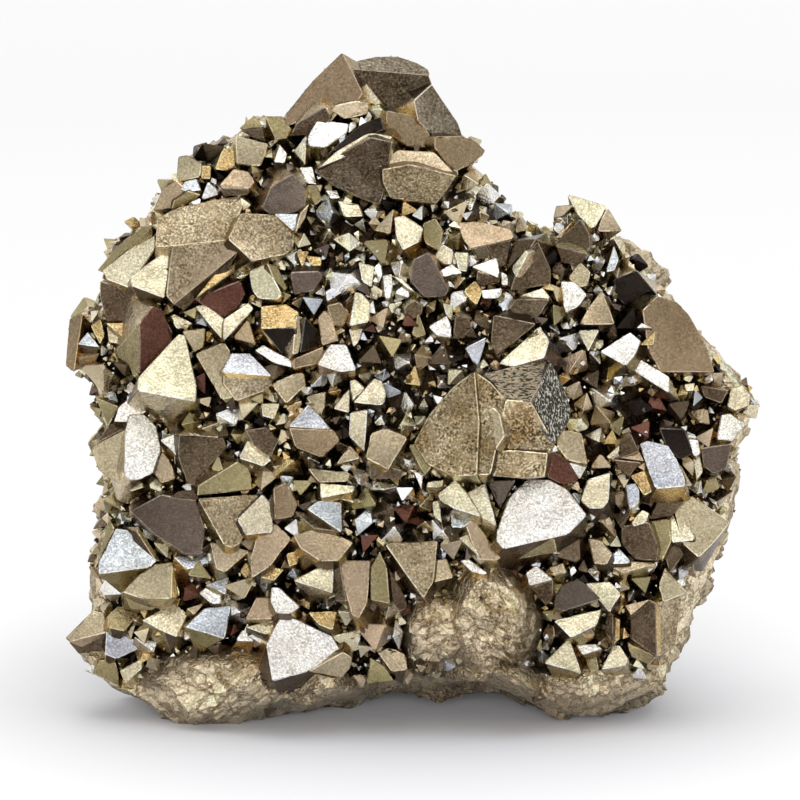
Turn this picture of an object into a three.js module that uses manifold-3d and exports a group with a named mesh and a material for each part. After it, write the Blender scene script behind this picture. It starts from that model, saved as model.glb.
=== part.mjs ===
// Pyrite specimen: octahedral pyrite crystals grown together over a base of massive pyrite.
// Millimetres, +Z up, the crystal front faces -Y, origin under the middle of the bounding box.
// The whole specimen is one intergrown piece, so every crystal is joined to the base in one solid.
import * as THREE from "three";
import { ConvexGeometry } from "three/addons/geometries/ConvexGeometry.js";
import { mergeVertices } from "three/addons/utils/BufferGeometryUtils.js";
import Module from "manifold-3d";

// ---- driving dimensions -------------------------------------------------------------------
const LEAN_DEG = 12; // the crystal front leans back by this much
const FRONT_BULGE = 15; // how far the front stands forward in the middle
const BULGE_MIDDLE = [1, 50]; // across and up, the middle of the bulge
const BULGE_REACH = [60, 62]; // half width and half height of the bulge
const RECESS = 2.6; // the base lies this far behind the crystal tips' datum
const RIM_BACK = 2; // the outline of the base lies this far behind the datum plane
const MIDDLE = [0, 48]; // across and up, the middle that the base narrows towards
const ROUGHNESS = 0.9; // height of the hackly breaks on the base
const OCTAHEDRON_FLARE = 0.354; // a neighbouring octahedron face leans out by this slope
const DEPTH_SHARE = 0.62; // depth of a crystal for the size of its broad face
const MIN_COVER = 3.4; // each crystal reaches at least this far into the base

// rings of the base behind the rim: [share of the outline, every how many points, distance back]
const BACK_RINGS = [[1.0, 1, 8], [0.96, 2, 14], [0.86, 2, 20], [0.62, 4, 24.5], [0.3, 9, 27]];
// rings of the base before the rim: [share of the outline, every how many points, share of bulge]
const FRONT_RINGS = [[0.965, 1, 0.45], [0.86, 2, 1], [0.64, 4, 1], [0.38, 6, 1]];
const LOWER_BACK_SHARE = 0.12; // below the middle the back narrows less, so the feet stay deep

// outline of the base, across and up, clockwise from the summit
const OUTLINE = [
  [-11.4, 106.3], [-7, 105.6], [-2.5, 106], [1.9, 104.6], [2.8, 101.6], [5.4, 98.2], [7.3, 95.5],
  [10.2, 92.6], [8.4, 90.9], [9.1, 87.7], [12.3, 85.6], [15.8, 82.4], [19.5, 79.5], [23, 79.2],
  [24.4, 82], [26, 83], [30.6, 82], [33.6, 77.8], [38.6, 72.5], [43.4, 66], [47.8, 61.3],
  [51.2, 57.3], [54.8, 52], [53.7, 48.2], [51.5, 42.9], [50.7, 36.5], [50.2, 30], [48.3, 25.3],
  [45.6, 20], [44.2, 15.7], [41.4, 10], [40.4, 6.7], [34.4, 3.6], [29.4, 1.7], [22.7, 1.7],
  [19.4, 3.3], [14.9, 5.7], [8.3, 6.7], [0.2, 6.7], [-7, 5.6], [-11.2, 4.3], [-17.3, 2.8],
  [-24.5, 0.9], [-32.8, -0.3], [-37, -0.2], [-39.2, 1], [-43.7, 4.2], [-47.2, 6], [-50.5, 8.5],
  [-51.2, 10.9], [-53.6, 13.4], [-50.9, 18.6], [-51.2, 22], [-50.9, 26.9], [-49.7, 33],
  [-48.2, 38.9], [-49.4, 42], [-50, 45.3], [-48.2, 48], [-49.8, 52.5], [-51.6, 55.7],
  [-54.2, 58.9], [-54.2, 64.2], [-50.9, 66.6], [-49.7, 70], [-49.8, 73.3], [-47.2, 76.3],
  [-42.4, 80], [-40.3, 84.3], [-37.2, 87.5], [-36.4, 91], [-33, 92.8], [-29.3, 93.6],
  [-25.4, 97], [-20.6, 97.6], [-17.2, 101.4], [-13.8, 105.5],
];

// Broad faces of the main crystals: [looks right, looks up, stands proud, [across, up, ...]].
// The corners are the face seen square on to the front; the first two numbers tip it.
const CRYSTALS = [
  // summit and top ridge
  [-0.25, 0.1, 2.5, [-11.3, 108.2, -9.4, 106.9, -8, 102.6, -8.7, 100.3, -14, 99.5, -19.2, 96.3, -20.3, 98.8, -14.3, 106.3]],
  [-0.1, -0.7, 0.5, [-19, 96.4, -13.8, 99.4, -15.5, 95, -17.5, 93.8, -20, 95]],
  [0.0, 0.5, 1.0, [-16.7, 93, -15, 97.5, -10, 96.8, -10.3, 95.5, -13, 93.2, -15.5, 92.7]],
  [0.1, 0.8, 1.5, [-9.4, 106.8, -2.5, 107.6, 2.2, 106, 2.6, 104.6, -2, 104.6, -7, 105.2]],
  [-0.2, -0.15, 2.5, [-7.3, 105.2, 2.6, 104.6, 0.6, 97.5, -4.5, 99.5, -7.8, 103]],
  [0.8, 0.1, 1.5, [2.6, 104.8, 3.2, 102, 7.8, 97.5, 8, 95, 2, 95.5, 0.6, 97.6]],
  [0.35, 0.15, 1.5, [5, 95.3, 8.2, 95, 11.8, 92.5, 10, 90.2, 7.5, 90, 4, 92]],
  [0.1, 0.25, 1.0, [-4.2, 98.8, 0.5, 98, 3, 95, 2.5, 92.5, -2.2, 93, -4, 96]],
  [-0.3, 0.35, 2.5, [-6.2, 97.8, -4.7, 97.8, -4.2, 95.2, -7, 95, -12.5, 92.6]],
  [-0.15, -0.2, 3.5, [-15.2, 89, -6.7, 94.6, -3, 94, -4.2, 91.3, -4.4, 85, -6, 83.4, -10, 85, -12.6, 86.8]],
  [0.05, 0.45, 3.0, [-4.2, 89.3, -2, 93, 4.8, 91.5, 7.2, 89.3, 1, 87.3, -3.7, 87.3]],
  [0.05, -0.25, 3.0, [-3.7, 87.6, 1, 87.6, 7.2, 89.3, 5.3, 86.3, 2.5, 83.5, -0.7, 82.8, -4, 85]],
  // upper left shoulder
  [-0.3, 0.15, 0.5, [-37.5, 91.5, -36, 91.8, -33.8, 90.5, -34, 88.3, -36.8, 87.6, -37.8, 88]],
  [-0.4, 0.0, 0.5, [-37.8, 87.7, -36.3, 86.3, -38.5, 83.2, -41.5, 82.8, -40, 86.5]],
  [-0.1, 0.4, 1.5, [-30.7, 87, -28.5, 89.5, -26.2, 89, -25.2, 87.5, -26, 86.3, -30.5, 86.5]],
  [0.1, 0.15, 0.5, [-28.2, 94.8, -23, 93.5, -24.2, 90, -28, 90.2]],
  [0.05, -0.15, 2.0, [-24, 83, -22.5, 86.5, -19, 88.5, -17, 86.3, -17, 83.5, -18.5, 82.5, -22.5, 82.1]],
  [0.05, 0.4, 1.5, [-2.8, 81.7, -1.3, 82, 1.7, 80, 1.2, 77.8, -1.5, 76.4, -2.5, 78.5]],
  // the broad left plates
  [-0.15, 0.55, 2.0, [-40.7, 81.5, -38, 83.2, -28, 85.2, -26.8, 84.5, -28.5, 80, -29.7, 78, -38.5, 77.1, -41, 77]],
  [-0.1, 0.15, 2.5, [-38.3, 77.1, -29.6, 77.9, -27, 77, -30, 75, -38, 67.8, -39.2, 69.2, -38.8, 73]],
  [0.5, -0.7, 2.0, [-27.3, 76.6, -38, 67.8, -36.3, 66.8, -29.3, 73.2]],
  [0.15, 0.35, 2.0, [-27.3, 82.3, -22, 82.1, -18.8, 79.3, -19, 76.5, -20.5, 75.7, -25.5, 74.7, -27.5, 77, -29.3, 78.2]],
  [-0.3, 0.4, 2.0, [-49.6, 73.3, -41, 80.2, -41.2, 76.6, -45, 73.3, -45.3, 70.5, -49, 71.9]],
  [-0.9, 0.3, 1.5, [-50.5, 73.3, -47.6, 76.8, -43.3, 80.2, -41.5, 80.4, -49.6, 73]],
  [-0.05, 0.4, 3.0, [-45, 72.2, -38.3, 77, -39.5, 73, -39.5, 68.8, -44.8, 70.8]],
  [-0.3, -0.2, 1.0, [-50, 71.5, -45, 70.3, -45, 65.2, -49, 65, -50, 69]],
  // left edge
  [-0.7, 0.1, 1.0, [-55, 65.5, -52.8, 66.3, -53.2, 64, -54.3, 62.5, -54.2, 57, -55.6, 58]],
  [0.45, -0.1, 3.5, [-43.3, 65, -41.5, 67.3, -40, 67, -38, 62.8, -41, 57.2, -43.5, 56.8]],
  [-0.7, 0.1, 3.0, [-44.7, 66, -43.3, 67.2, -43.3, 65, -43.7, 56.7, -44.5, 56.2, -45.8, 60]],
  [0.0, 0.4, 3.0, [-37.3, 63.2, -36.2, 62.8, -34.3, 54.5, -34.5, 52.3, -43.7, 54, -43.7, 56, -41, 57.5, -38.4, 61.8]],
  [0.0, -0.25, 1.0, [-34.7, 68.6, -27.5, 71.5, -26.5, 69.5, -28.5, 66, -30, 65.6, -33, 67.8]],
  [-0.25, 0.15, 2.0, [-34.5, 59.8, -30, 61.7, -29, 60.2, -30.5, 57.5, -28.6, 53, -30.3, 52.6]],
  [0.1, 0.7, 2.0, [-30.3, 57, -28.8, 60, -25.8, 60, -25.5, 58.3, -22.3, 56.4]],
  [0.0, 0.05, 2.0, [-30, 56.9, -22.3, 56.3, -22.2, 55, -23.5, 54, -28, 52.4, -30, 55]],
  [-0.3, 0.2, 2.0, [-26, 73, -23.3, 74.2, -20.8, 69.3, -21.5, 68.5, -24.5, 68.7, -25.5, 70]],
  [0.0, 0.75, 2.0, [-24, 67.5, -20, 67.8, -18, 66.5, -18.5, 63.9, -24, 64]],
  [-0.05, -0.45, 2.0, [-24, 63.9, -18.8, 64, -18.3, 63, -19, 59.8, -20.5, 59.5]],
  [0.6, -0.2, 1.0, [-17, 65.7, -14.5, 63, -14.8, 61, -17.8, 60]],
  [0.0, 0.3, 2.5, [-13, 61.3, -10.5, 61.3, -8.9, 57.3, -11.5, 57, -15, 58.2]],
  [0.0, -0.3, 1.0, [-19.3, 72.8, -14.8, 73, -14.3, 72, -15.5, 70, -18.8, 69.3]],
  [0.1, 0.4, 1.5, [-9, 69.7, -8, 69.5, -6.7, 68, -6.9, 65, -9.9, 64.4]],
  [-0.1, 0.3, 1.0, [-15, 65.5, -14, 66.8, -13, 66, -11.7, 62, -14.3, 61.3]],
  [0.1, 0.35, 1.5, [-9.3, 52.2, -6, 56, -4.8, 55.6, -4.1, 53.5, -4.5, 52, -5.2, 51.7]],
  [0.0, 0.2, 1.5, [-18.5, 56.8, -17.3, 56.8, -17, 54.8, -20, 52, -22, 54.5, -22, 55.2]],
  // upper middle
  [0.0, -0.15, 1.5, [0.2, 74.8, 2.7, 76, 5.8, 70, 5.2, 68.9, 2, 68.9, -0.3, 71.5]],
  [0.0, 0.5, 1.5, [7.3, 80.8, 10.3, 81, 15.7, 79.7, 16.2, 78.3, 12.8, 77.9, 9.3, 76.8, 8.3, 78]],
  [0.2, -0.2, 1.0, [11.5, 77.2, 15.9, 78, 15, 74, 14, 73.6, 12.6, 75.2]],
  [0.0, 0.1, 1.0, [1.8, 80.6, 3.7, 81.4, 4.9, 79.5, 4.3, 76.3, 2, 77.5]],
  [0.25, -0.1, 2.5, [17.9, 75.3, 20, 77.8, 22, 73.5, 22, 71, 15.7, 69.9, 16.5, 72.5]],
  [-0.8, 0.1, 1.5, [16.3, 78, 19.7, 78.1, 17.5, 75, 15.6, 71.5, 14.9, 74.5]],
  [0.1, -0.3, 1.0, [16.5, 68.5, 22, 68.5, 20, 65.5, 17, 65.3, 15.5, 67]],
  [-0.1, -0.2, 1.5, [13, 66, 19.7, 64.6, 13.5, 59.5, 12.5, 61.5]],
  [-0.25, 0.6, 2.5, [13.7, 58.3, 20.3, 64.3, 21.8, 62, 21, 59.3, 19.5, 58.9, 16, 57.9]],
  // right shoulder
  [0.1, 0.05, 1.5, [22.8, 77.5, 26.8, 81.3, 28.3, 79, 28.5, 77, 27.8, 76.2, 23, 77.2]],
  [0.2, 0.5, 0.5, [24.8, 85.5, 31.2, 83.5, 29.3, 80.3, 28.5, 80, 26.3, 82.5]],
  [0.1, 0.4, 2.0, [23.8, 71.5, 26, 71.3, 27.8, 69.3, 26.5, 67.5, 24.5, 66.4, 24.2, 67.5]],
  [0.1, -0.3, 0.0, [32.3, 71.8, 35.9, 73.2, 37, 71, 39.2, 69.3, 34.5, 67, 32.4, 69.5]],
  [0.0, 0.3, 2.0, [30.2, 70, 32.3, 64.6, 26.7, 64.6, 28, 67]],
  [-0.1, 0.5, 2.5, [30, 60.3, 34.8, 63.4, 36.4, 62, 35.5, 59.7, 34, 58]],
  [-0.1, 0.5, 2.5, [34, 58.2, 35.6, 59.6, 38.8, 56, 41, 56.3, 40.9, 53.7, 38.3, 55.3]],
  [0.35, 0.0, 3.0, [39.2, 69.1, 42.5, 68.1, 44.3, 66, 47.2, 60.8, 48.3, 57, 39.7, 57, 37.7, 60.5, 36.8, 66.8]],
  // right edge
  [0.2, 0.3, 1.5, [51.2, 54.5, 53, 55, 54.3, 53.3, 54, 51.5, 52, 50.8, 50.5, 51.6]],
  [0.1, 0.35, 1.5, [49.5, 50.2, 51, 50.4, 53.4, 48.5, 51.4, 46, 48.8, 46.3]],
  [0.25, -0.1, 1.5, [46.3, 44.8, 51.2, 45.5, 50.3, 41.5, 48.2, 40.7, 46.6, 42]],
  [0.3, -0.2, 1.5, [39.5, 48, 43.5, 47.8, 45, 44, 42.8, 43, 40.5, 45.3]],
  [0.1, 0.4, 2.5, [36.3, 45.5, 37.5, 46.1, 40.8, 45.3, 42, 43.5, 43.5, 40, 43.5, 38.8, 38.8, 38.4, 38.3, 40]],
  [0.0, 0.35, 2.5, [28, 39.8, 31.5, 41, 31.3, 36.5, 30.3, 35.3, 28, 35.3, 26.8, 36.5]],
  [0.2, 0.3, 2.5, [42, 34.8, 44.7, 37.2, 46.2, 35, 50.9, 33, 48.3, 29.8, 45.8, 27.4, 43.3, 29.6]],
  [-0.2, 0.4, 2.0, [41, 33.6, 42.1, 34.6, 45, 31, 45, 30.2, 41.5, 29.8]],
  [-0.2, 0.0, 1.5, [38, 33, 40.9, 33.5, 41.4, 30, 40, 27, 39, 27]],
  [-0.1, -0.1, 1.5, [33.5, 32.3, 37.8, 33, 39.3, 29, 39, 26.8, 35.5, 27.2, 33.5, 29.5]],
  [0.3, 0.2, 1.5, [39.5, 22.8, 40.4, 25.8, 44, 21.7, 40.2, 20.2]],
  // the great pyramid in the middle
  [-0.4, 0.1, 5.5, [5, 54.9, 10, 56.8, 12.5, 55.2, 14.9, 52.5, 14, 49.3, 13.3, 46, 11.7, 40.4, 6.9, 40.6, 2.9, 42.6, 0.7, 46, 2, 50.9]],
  [0.1, 0.8, 4.5, [11.5, 56.8, 16, 57.8, 21.9, 58.9, 21.1, 56.2, 18.7, 52.1, 14.9, 52.3]],
  [0.7, 0.1, 4.5, [22.1, 58.6, 24.3, 54.1, 25.3, 50.7, 25, 49.3, 22.6, 45.3, 20.5, 47.7, 18.7, 52.1, 21.1, 56.2]],
  [0.15, -0.3, 5.0, [14.9, 52.5, 18.9, 52.2, 22.6, 45.3, 21.3, 43.7, 15.7, 44.3, 13.5, 46.2]],
  [0.0, -0.25, 4.0, [12, 44.3, 16, 44.5, 21.5, 44, 21, 40.3, 18, 40, 12.3, 40.5]],
  [0.3, -0.2, 2.5, [22.6, 44.2, 24.8, 43, 26.4, 39.7, 24.2, 38.9, 21.6, 40.3]],
  [0.3, 0.3, 2.5, [23, 45.3, 23.8, 47.8, 27, 47.2, 28, 42.2, 24.8, 43]],
  [0.1, 0.4, 5.5, [18.4, 40, 21.8, 39.8, 24.5, 38.4, 27.7, 34.2, 24.8, 31.2, 14.6, 28.9, 13.4, 30.2, 13.6, 31.8, 15.4, 36.9]],
  [0.0, -0.9, 3.0, [15, 28.7, 22.5, 30.5, 23, 28.3, 16, 26.9]],
  [-0.2, 0.3, 4.0, [4.1, 37.5, 6.8, 39.8, 8.7, 37.7, 10.8, 34, 6.7, 35.3, 4.6, 36.4]],
  [0.0, 0.3, 4.0, [8.7, 37.7, 11.6, 39.3, 12.5, 36, 13.4, 32.5, 10.5, 34.2]],
  [0.2, 0.15, 3.0, [8.6, 32.5, 9.8, 33.5, 14.1, 27.5, 13.5, 27, 10.5, 27.2]],
  // lower middle
  [0.0, 0.25, 3.0, [-4.3, 29.6, 4, 30.1, 3.4, 23.7, 1.8, 21]],
  [0.2, 0.15, 4.5, [6.9, 25.1, 14.4, 23.7, 15.7, 21.3, 17.9, 14.1, 16.5, 10.1, 12.5, 10.1, 8.2, 12.5, 6.9, 17.3]],
  [-0.35, 0.1, 3.5, [1.1, 20.2, 3.8, 20.3, 7.8, 18, 7.6, 12, 6.9, 10.6, 2.7, 12.2, 0, 14.8]],
  [0.0, 0.1, 1.0, [23, 22.5, 26.5, 24, 30.3, 20.8, 24, 18.8, 22.7, 19.5]],
  [0.1, 0.3, 2.0, [27.8, 23.3, 31.5, 23.5, 33.3, 21.6, 31.5, 18.6, 30.4, 20]],
  [0.0, 0.4, 2.0, [22.7, 17.3, 30.4, 19.2, 29.4, 16.6, 25.4, 14.6]],
  [0.0, 0.3, 2.5, [25.1, 14.5, 27, 8.8, 21.1, 10.6]],
  [-0.35, 0.0, 3.0, [37.9, 20.6, 38.9, 20, 39.1, 11.6, 34.9, 14.4, 35, 18.2]],
  [0.7, 0.0, 3.0, [38.9, 20, 43.3, 21.1, 42.2, 13.3, 39.5, 11.5]],
  // lower left
  [-0.1, 0.5, 1.0, [-44, 53.9, -40.8, 51.7, -43.5, 50.9, -45.4, 49.1, -47.7, 49.1, -47, 51.2]],
  [0.15, 0.3, 3.5, [-45, 50.1, -42.9, 50.2, -40.8, 48.2, -40.1, 44.5, -41.4, 40.8, -43.7, 39.8, -45, 39.8, -45.8, 40.8, -45.8, 47.5]],
  [-0.55, -0.05, 3.0, [-51.2, 44.3, -50.9, 45.3, -45.8, 47.9, -45.8, 40.9, -45, 39.7, -42.9, 38.6, -45, 37.9, -50.2, 41.1]],
  [0.05, -0.2, 2.0, [-37.1, 47, -30.2, 46.6, -29.6, 45, -34.6, 39, -35.8, 39.2, -37.3, 43.5]],
  [0.15, -0.35, 1.5, [-34, 38.8, -27.7, 42.7, -26, 41.5, -25.4, 38.2, -34.2, 37.2]],
  [-0.1, -0.05, 3.5, [-45, 34.7, -40, 37.4, -34.4, 36.4, -33.1, 32, -33.6, 28, -36.3, 28, -41, 31]],
  [0.15, 0.2, 2.5, [-34.1, 36.8, -24.5, 37.4, -28.2, 33.8, -27.3, 29.8, -28.6, 29, -29.9, 29.4]],
  [0.1, 0.2, 2.0, [-27.8, 33.5, -23.8, 37.5, -22, 35.5, -22.3, 31.5, -26.5, 31]],
  [-0.05, 0.45, 2.5, [-47.5, 32, -45.6, 31.8, -43, 29.3, -40.8, 27, -42, 25.8, -50.2, 24.7, -50.2, 26.5]],
  [-0.05, 0.2, 3.0, [-41, 26.2, -38.4, 26.6, -37.9, 24.2, -38.7, 20.8, -43.2, 20.8, -46.1, 21.8, -44, 24.2]],
  [-0.1, -0.8, 2.5, [-46, 21.4, -38.7, 20.7, -41.6, 18.8, -45, 19]],
  [0.1, 0.2, 2.0, [-32.2, 29.8, -27.7, 29, -25.9, 28.4, -29.8, 25.1, -31.2, 25.6]],
  [-0.3, 0.45, 1.0, [-55.7, 14.3, -51.3, 18.7, -49.5, 18.3, -48.8, 15.3, -55, 13.7]],
  [-0.2, -0.6, 1.0, [-55.2, 13.5, -49, 15.2, -49.6, 12.3, -53.6, 11.6]],
  [0.0, 0.5, 1.0, [-48.8, 18, -47, 19.5, -43.8, 18.6, -46, 15.5, -48.6, 16]],
  [0.0, 0.1, 1.5, [-49, 15.8, -42.4, 13.3, -47.4, 11, -49.2, 11.7]],
  [0.0, 0.45, 1.5, [-43.2, 17.3, -38, 20, -35.8, 18.3, -37.6, 14.6, -39.8, 15.5]],
  [0.1, 0.35, 2.5, [-36.2, 16.3, -33, 19.3, -29, 19.7, -29.9, 14.4]],
  [-0.2, 0.0, 0.5, [-50.4, 10.7, -47.8, 10.6, -47.2, 8.5, -47.2, 6.5, -51.3, 8.5]],
  [0.0, 0.3, 2.5, [-22.4, 22.6, -21.3, 22.7, -17.9, 19.6, -19.4, 18.5, -21.6, 18.6, -22.5, 20.5]],
  [0.05, 0.35, 4.5, [-21, 17.8, -20, 18.2, -12.8, 14.9, -11.2, 12.3, -16.5, 9.3, -22.2, 7.7, -23.2, 13.4]],
  [0.3, -0.6, 3.5, [-16.5, 9.2, -11, 12.3, -9.6, 11.4, -9.8, 9.9, -11.2, 8.2]],
  [-0.1, 0.2, 1.5, [-24.8, 21, -22.6, 21, -22.3, 17.6, -26.6, 17.5]],
  [-0.1, 0.35, 2.5, [-18.9, 23.8, -14.3, 26.2, -12.6, 25.7, -12.7, 21.8]],
  [0.0, 0.3, 3.0, [-18.8, 30.9, -16, 31.9, -12, 31, -9.4, 29.9, -11.7, 27, -14.5, 26.9, -17.8, 29]],
  [0.1, 0.3, 2.5, [-16.7, 35.2, -14.9, 36.6, -11.3, 36.2, -11.2, 31.5]],
  [-0.2, 0.2, 2.5, [-9.8, 50.5, -7.2, 51, -7.6, 44.4, -10, 46.8]],
  [0.0, 0.2, 3.0, [-6.5, 47.2, -4, 48, -0.8, 46.5, -2, 45, -3.8, 41.5, -7.3, 43.3]],
  [0.1, 0.3, 2.0, [-26.5, 47.8, -23, 48.2, -21.3, 46, -22.5, 43.4, -25, 45]],
  [0.0, 0.35, 2.0, [-19.6, 48.3, -16.4, 51.9, -14, 49.3, -13, 47.9]],
  [0.0, -0.1, 2.0, [-19.5, 48, -12.5, 47.7, -11.5, 46, -12.8, 44.8, -14.4, 43.4, -18.5, 45]],
  [0.0, 0.2, 2.5, [-24.8, 30.4, -22.2, 33.3, -19.3, 30.4, -22.7, 26, -25.5, 24.2, -25.8, 27]],
  [-0.15, 0.2, 3.5, [-11.4, 26.9, -6.6, 26.9, -7.7, 23.7, -7.2, 20.2, -8.5, 17.9, -9.5, 18.3, -10.7, 22.4]],
  [-0.2, 0.1, 3.0, [-6.5, 26, -5.2, 28.4, -4.1, 26, -3.6, 20.2, -6.6, 20.7]],
  [0.1, 0.1, 2.0, [-22, 38.5, -20, 39.3, -18.2, 36, -19, 34, -21.8, 33.5]],
  [0.0, 0.3, 1.0, [-5.5, 12.3, -3.5, 13, -1.2, 12, -0.8, 9.5, -3.2, 9.2]],
  [0.0, 0.1, 1.0, [-6.7, 11.5, -4, 9.8, -3, 7.6, -7.2, 7.2]],
];

// ---- the frame of the crystal front ----------------------------------------------------------
const LEAN = THREE.MathUtils.degToRad(LEAN_DEG);
const UP = new THREE.Vector3(0, Math.sin(LEAN), Math.cos(LEAN));
const OUT = new THREE.Vector3(0, -Math.cos(LEAN), Math.sin(LEAN));

const place = (across, up, out) =>
  new THREE.Vector3(across, 0, 0).addScaledVector(UP, up).addScaledVector(OUT, out);

function frontHeight(across, up) {
  const a = (across - BULGE_MIDDLE[0]) / BULGE_REACH[0];
  const b = (up - BULGE_MIDDLE[1]) / BULGE_REACH[1];
  return FRONT_BULGE * (1 - a * a - b * b);
}

// broad hackly breaks on the base, as a height in millimetres
const breaks = (x, y, z) => ROUGHNESS * (Math.sin(0.31 * x + 0.43 * z + 1.1 * Math.sin(0.19 * y))
  + Math.sin(0.23 * y - 0.37 * x + 0.6) + 0.8 * Math.sin(0.47 * z + 0.29 * y));

// ---- one crystal: a broad face and the flaring octahedron faces round it -----------------------
function crystalPoints([looksRight, looksUp, proud, numbers]) {
  const corners = [];
  for (let k = 0; k < numbers.length; k += 2) corners.push([numbers[k], numbers[k + 1]]);
  const count = corners.length;
  const cx = corners.reduce((s, c) => s + c[0], 0) / count;
  const cy = corners.reduce((s, c) => s + c[1], 0) / count;
  let area = 0;
  corners.forEach(([x, y], k) => {
    const [nx, ny] = corners[(k + 1) % count];
    area += (x * ny - nx * y) / 2;
  });
  const edge = Math.sqrt(Math.abs(area) / 0.433);
  const depth = Math.max(DEPTH_SHARE * edge, proud + RECESS + MIN_COVER - 2.6);
  const height = frontHeight(cx, cy) + proud;
  const face = corners.map(([x, y]) =>
    place(x, y, height - looksRight * (x - cx) - looksUp * (y - cy)));
  const middle = place(cx, cy, height);
  const normal = new THREE.Vector3(looksRight, 0, 0)
    .addScaledVector(UP, looksUp).add(OUT).normalize();
  const points = [...face];
  face.forEach((corner, k) => {
    const edgeMiddle = corner.clone().lerp(face[(k + 1) % count], 0.5);
    const outward = edgeMiddle.clone().sub(middle).normalize();
    points.push(edgeMiddle.addScaledVector(outward, OCTAHEDRON_FLARE * depth)
      .addScaledVector(normal, -depth));
  });
  return points;
}

// ---- the base: a rough lens-shaped body inside the outline -------------------------------------
function baseRing(share, step, behind, outAt) {
  const ring = [];
  for (let k = 0; k < OUTLINE.length; k += step) {
    const [x, y] = OUTLINE[k];
    const narrow = behind && y < MIDDLE[1] ? 1 - (1 - share) * LOWER_BACK_SHARE : share;
    const px = MIDDLE[0] + share * (x - MIDDLE[0]);
    const py = MIDDLE[1] + narrow * (y - MIDDLE[1]);
    const out = outAt(px, py);
    ring.push(place(px, py, out + (step > 1 ? breaks(px, py, out) : 0)));
  }
  return ring;
}

// triangles between two closed rings whose point counts may differ
function stitch(index, a, countA, b, countB) {
  let i = 0, j = 0;
  while (i < countA || j < countB) {
    const p = a + (i % countA), q = b + (j % countB);
    if (j >= countB || (i < countA && (i + 0.5) / countA <= (j + 0.5) / countB)) {
      index.push(p, a + ((i + 1) % countA), q);
      i += 1;
    } else {
      index.push(p, b + ((j + 1) % countB), q);
      j += 1;
    }
  }
}

function baseGeometry() {
  const surface = (x, y) => frontHeight(x, y) - RECESS;
  const rings = [
    ...[...FRONT_RINGS].reverse().map(([share, step, mix]) =>
      baseRing(share, step, false, (x, y) => mix * surface(x, y) - (1 - mix) * RIM_BACK)),
    baseRing(1, 1, false, () => -RIM_BACK),
    ...BACK_RINGS.map(([share, step, back]) => baseRing(share, step, true, () => -back)),
  ];
  const positions = rings.flat();
  const front = positions.push(place(...MIDDLE, surface(...MIDDLE))) - 1;
  const back = positions.push(place(...MIDDLE, -BACK_RINGS.at(-1)[2])) - 1;
  const index = [];
  let start = 0;
  rings.forEach((ring, r) => {
    const n = ring.length;
    for (let k = 0; k < n; k++) {
      const here = start + k, next = start + ((k + 1) % n);
      if (r === 0) index.push(front, next, here);
      if (r === rings.length - 1) index.push(here, next, back);
    }
    if (r < rings.length - 1) stitch(index, start, n, start + n, rings[r + 1].length);
    start += n;
  });
  const geometry = new THREE.BufferGeometry().setFromPoints(positions);
  geometry.setIndex(index);
  return geometry;
}

// ---- joining everything in one solid ------------------------------------------------------------
const wasm = await Module();
wasm.setup();

function toManifold(source) {
  const bare = source.clone();
  bare.deleteAttribute("normal");
  bare.deleteAttribute("uv");
  const merged = mergeVertices(bare, 1e-4);
  return new wasm.Manifold(new wasm.Mesh({
    numProp: 3,
    vertProperties: Float32Array.from(merged.attributes.position.array),
    triVerts: Uint32Array.from(merged.index.array),
  }));
}

function fromManifold(solid) {
  const mesh = solid.getMesh();
  const geometry = new THREE.BufferGeometry();
  geometry.setAttribute("position", new THREE.BufferAttribute(mesh.vertProperties, 3));
  geometry.setIndex(new THREE.BufferAttribute(mesh.triVerts, 1));
  return geometry;
}

let cluster = toManifold(baseGeometry());
for (const row of CRYSTALS) cluster = cluster.add(toManifold(new ConvexGeometry(crystalPoints(row))));

// the two feet are worn flat where the specimen stands
const FLOOR = 60;
const floor = new THREE.BoxGeometry(300, 300, FLOOR).translate(0, 0, -FLOOR / 2);
cluster = cluster.subtract(toManifold(floor));

// pockets shut in between grown-together crystals are solid pyrite: keep the outer skin alone
cluster = cluster.decompose().reduce((a, b) => (b.volume() > a.volume() ? b : a));

// origin under the middle of the bounding box
const geometry = fromManifold(cluster);
geometry.computeBoundingBox();
const box = geometry.boundingBox;
geometry.translate(-(box.min.x + box.max.x) / 2, -(box.min.y + box.max.y) / 2, -box.min.z);
geometry.computeVertexNormals();

const pyrite = new THREE.MeshStandardMaterial({ color: 0xa8946c, roughness: 0.35, metalness: 0.9 });
const mesh = new THREE.Mesh(geometry, pyrite);
mesh.name = "pyrite_cluster";
const group = new THREE.Group();
group.add(mesh);

export default group;
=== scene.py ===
import math

import bmesh
import bpy
import numpy as np
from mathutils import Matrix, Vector, noise


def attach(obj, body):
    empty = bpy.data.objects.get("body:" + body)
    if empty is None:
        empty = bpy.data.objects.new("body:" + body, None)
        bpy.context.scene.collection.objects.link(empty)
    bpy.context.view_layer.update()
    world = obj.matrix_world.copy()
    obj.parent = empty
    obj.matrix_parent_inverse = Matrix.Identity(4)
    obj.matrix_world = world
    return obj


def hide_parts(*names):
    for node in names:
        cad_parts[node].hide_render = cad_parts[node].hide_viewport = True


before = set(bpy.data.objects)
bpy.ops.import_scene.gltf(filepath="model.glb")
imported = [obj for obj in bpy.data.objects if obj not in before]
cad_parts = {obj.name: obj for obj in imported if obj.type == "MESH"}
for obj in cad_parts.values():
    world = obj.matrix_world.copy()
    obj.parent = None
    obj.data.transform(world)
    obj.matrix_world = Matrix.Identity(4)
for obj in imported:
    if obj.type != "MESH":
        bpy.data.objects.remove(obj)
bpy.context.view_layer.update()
rng = np.random.default_rng(1921)

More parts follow.
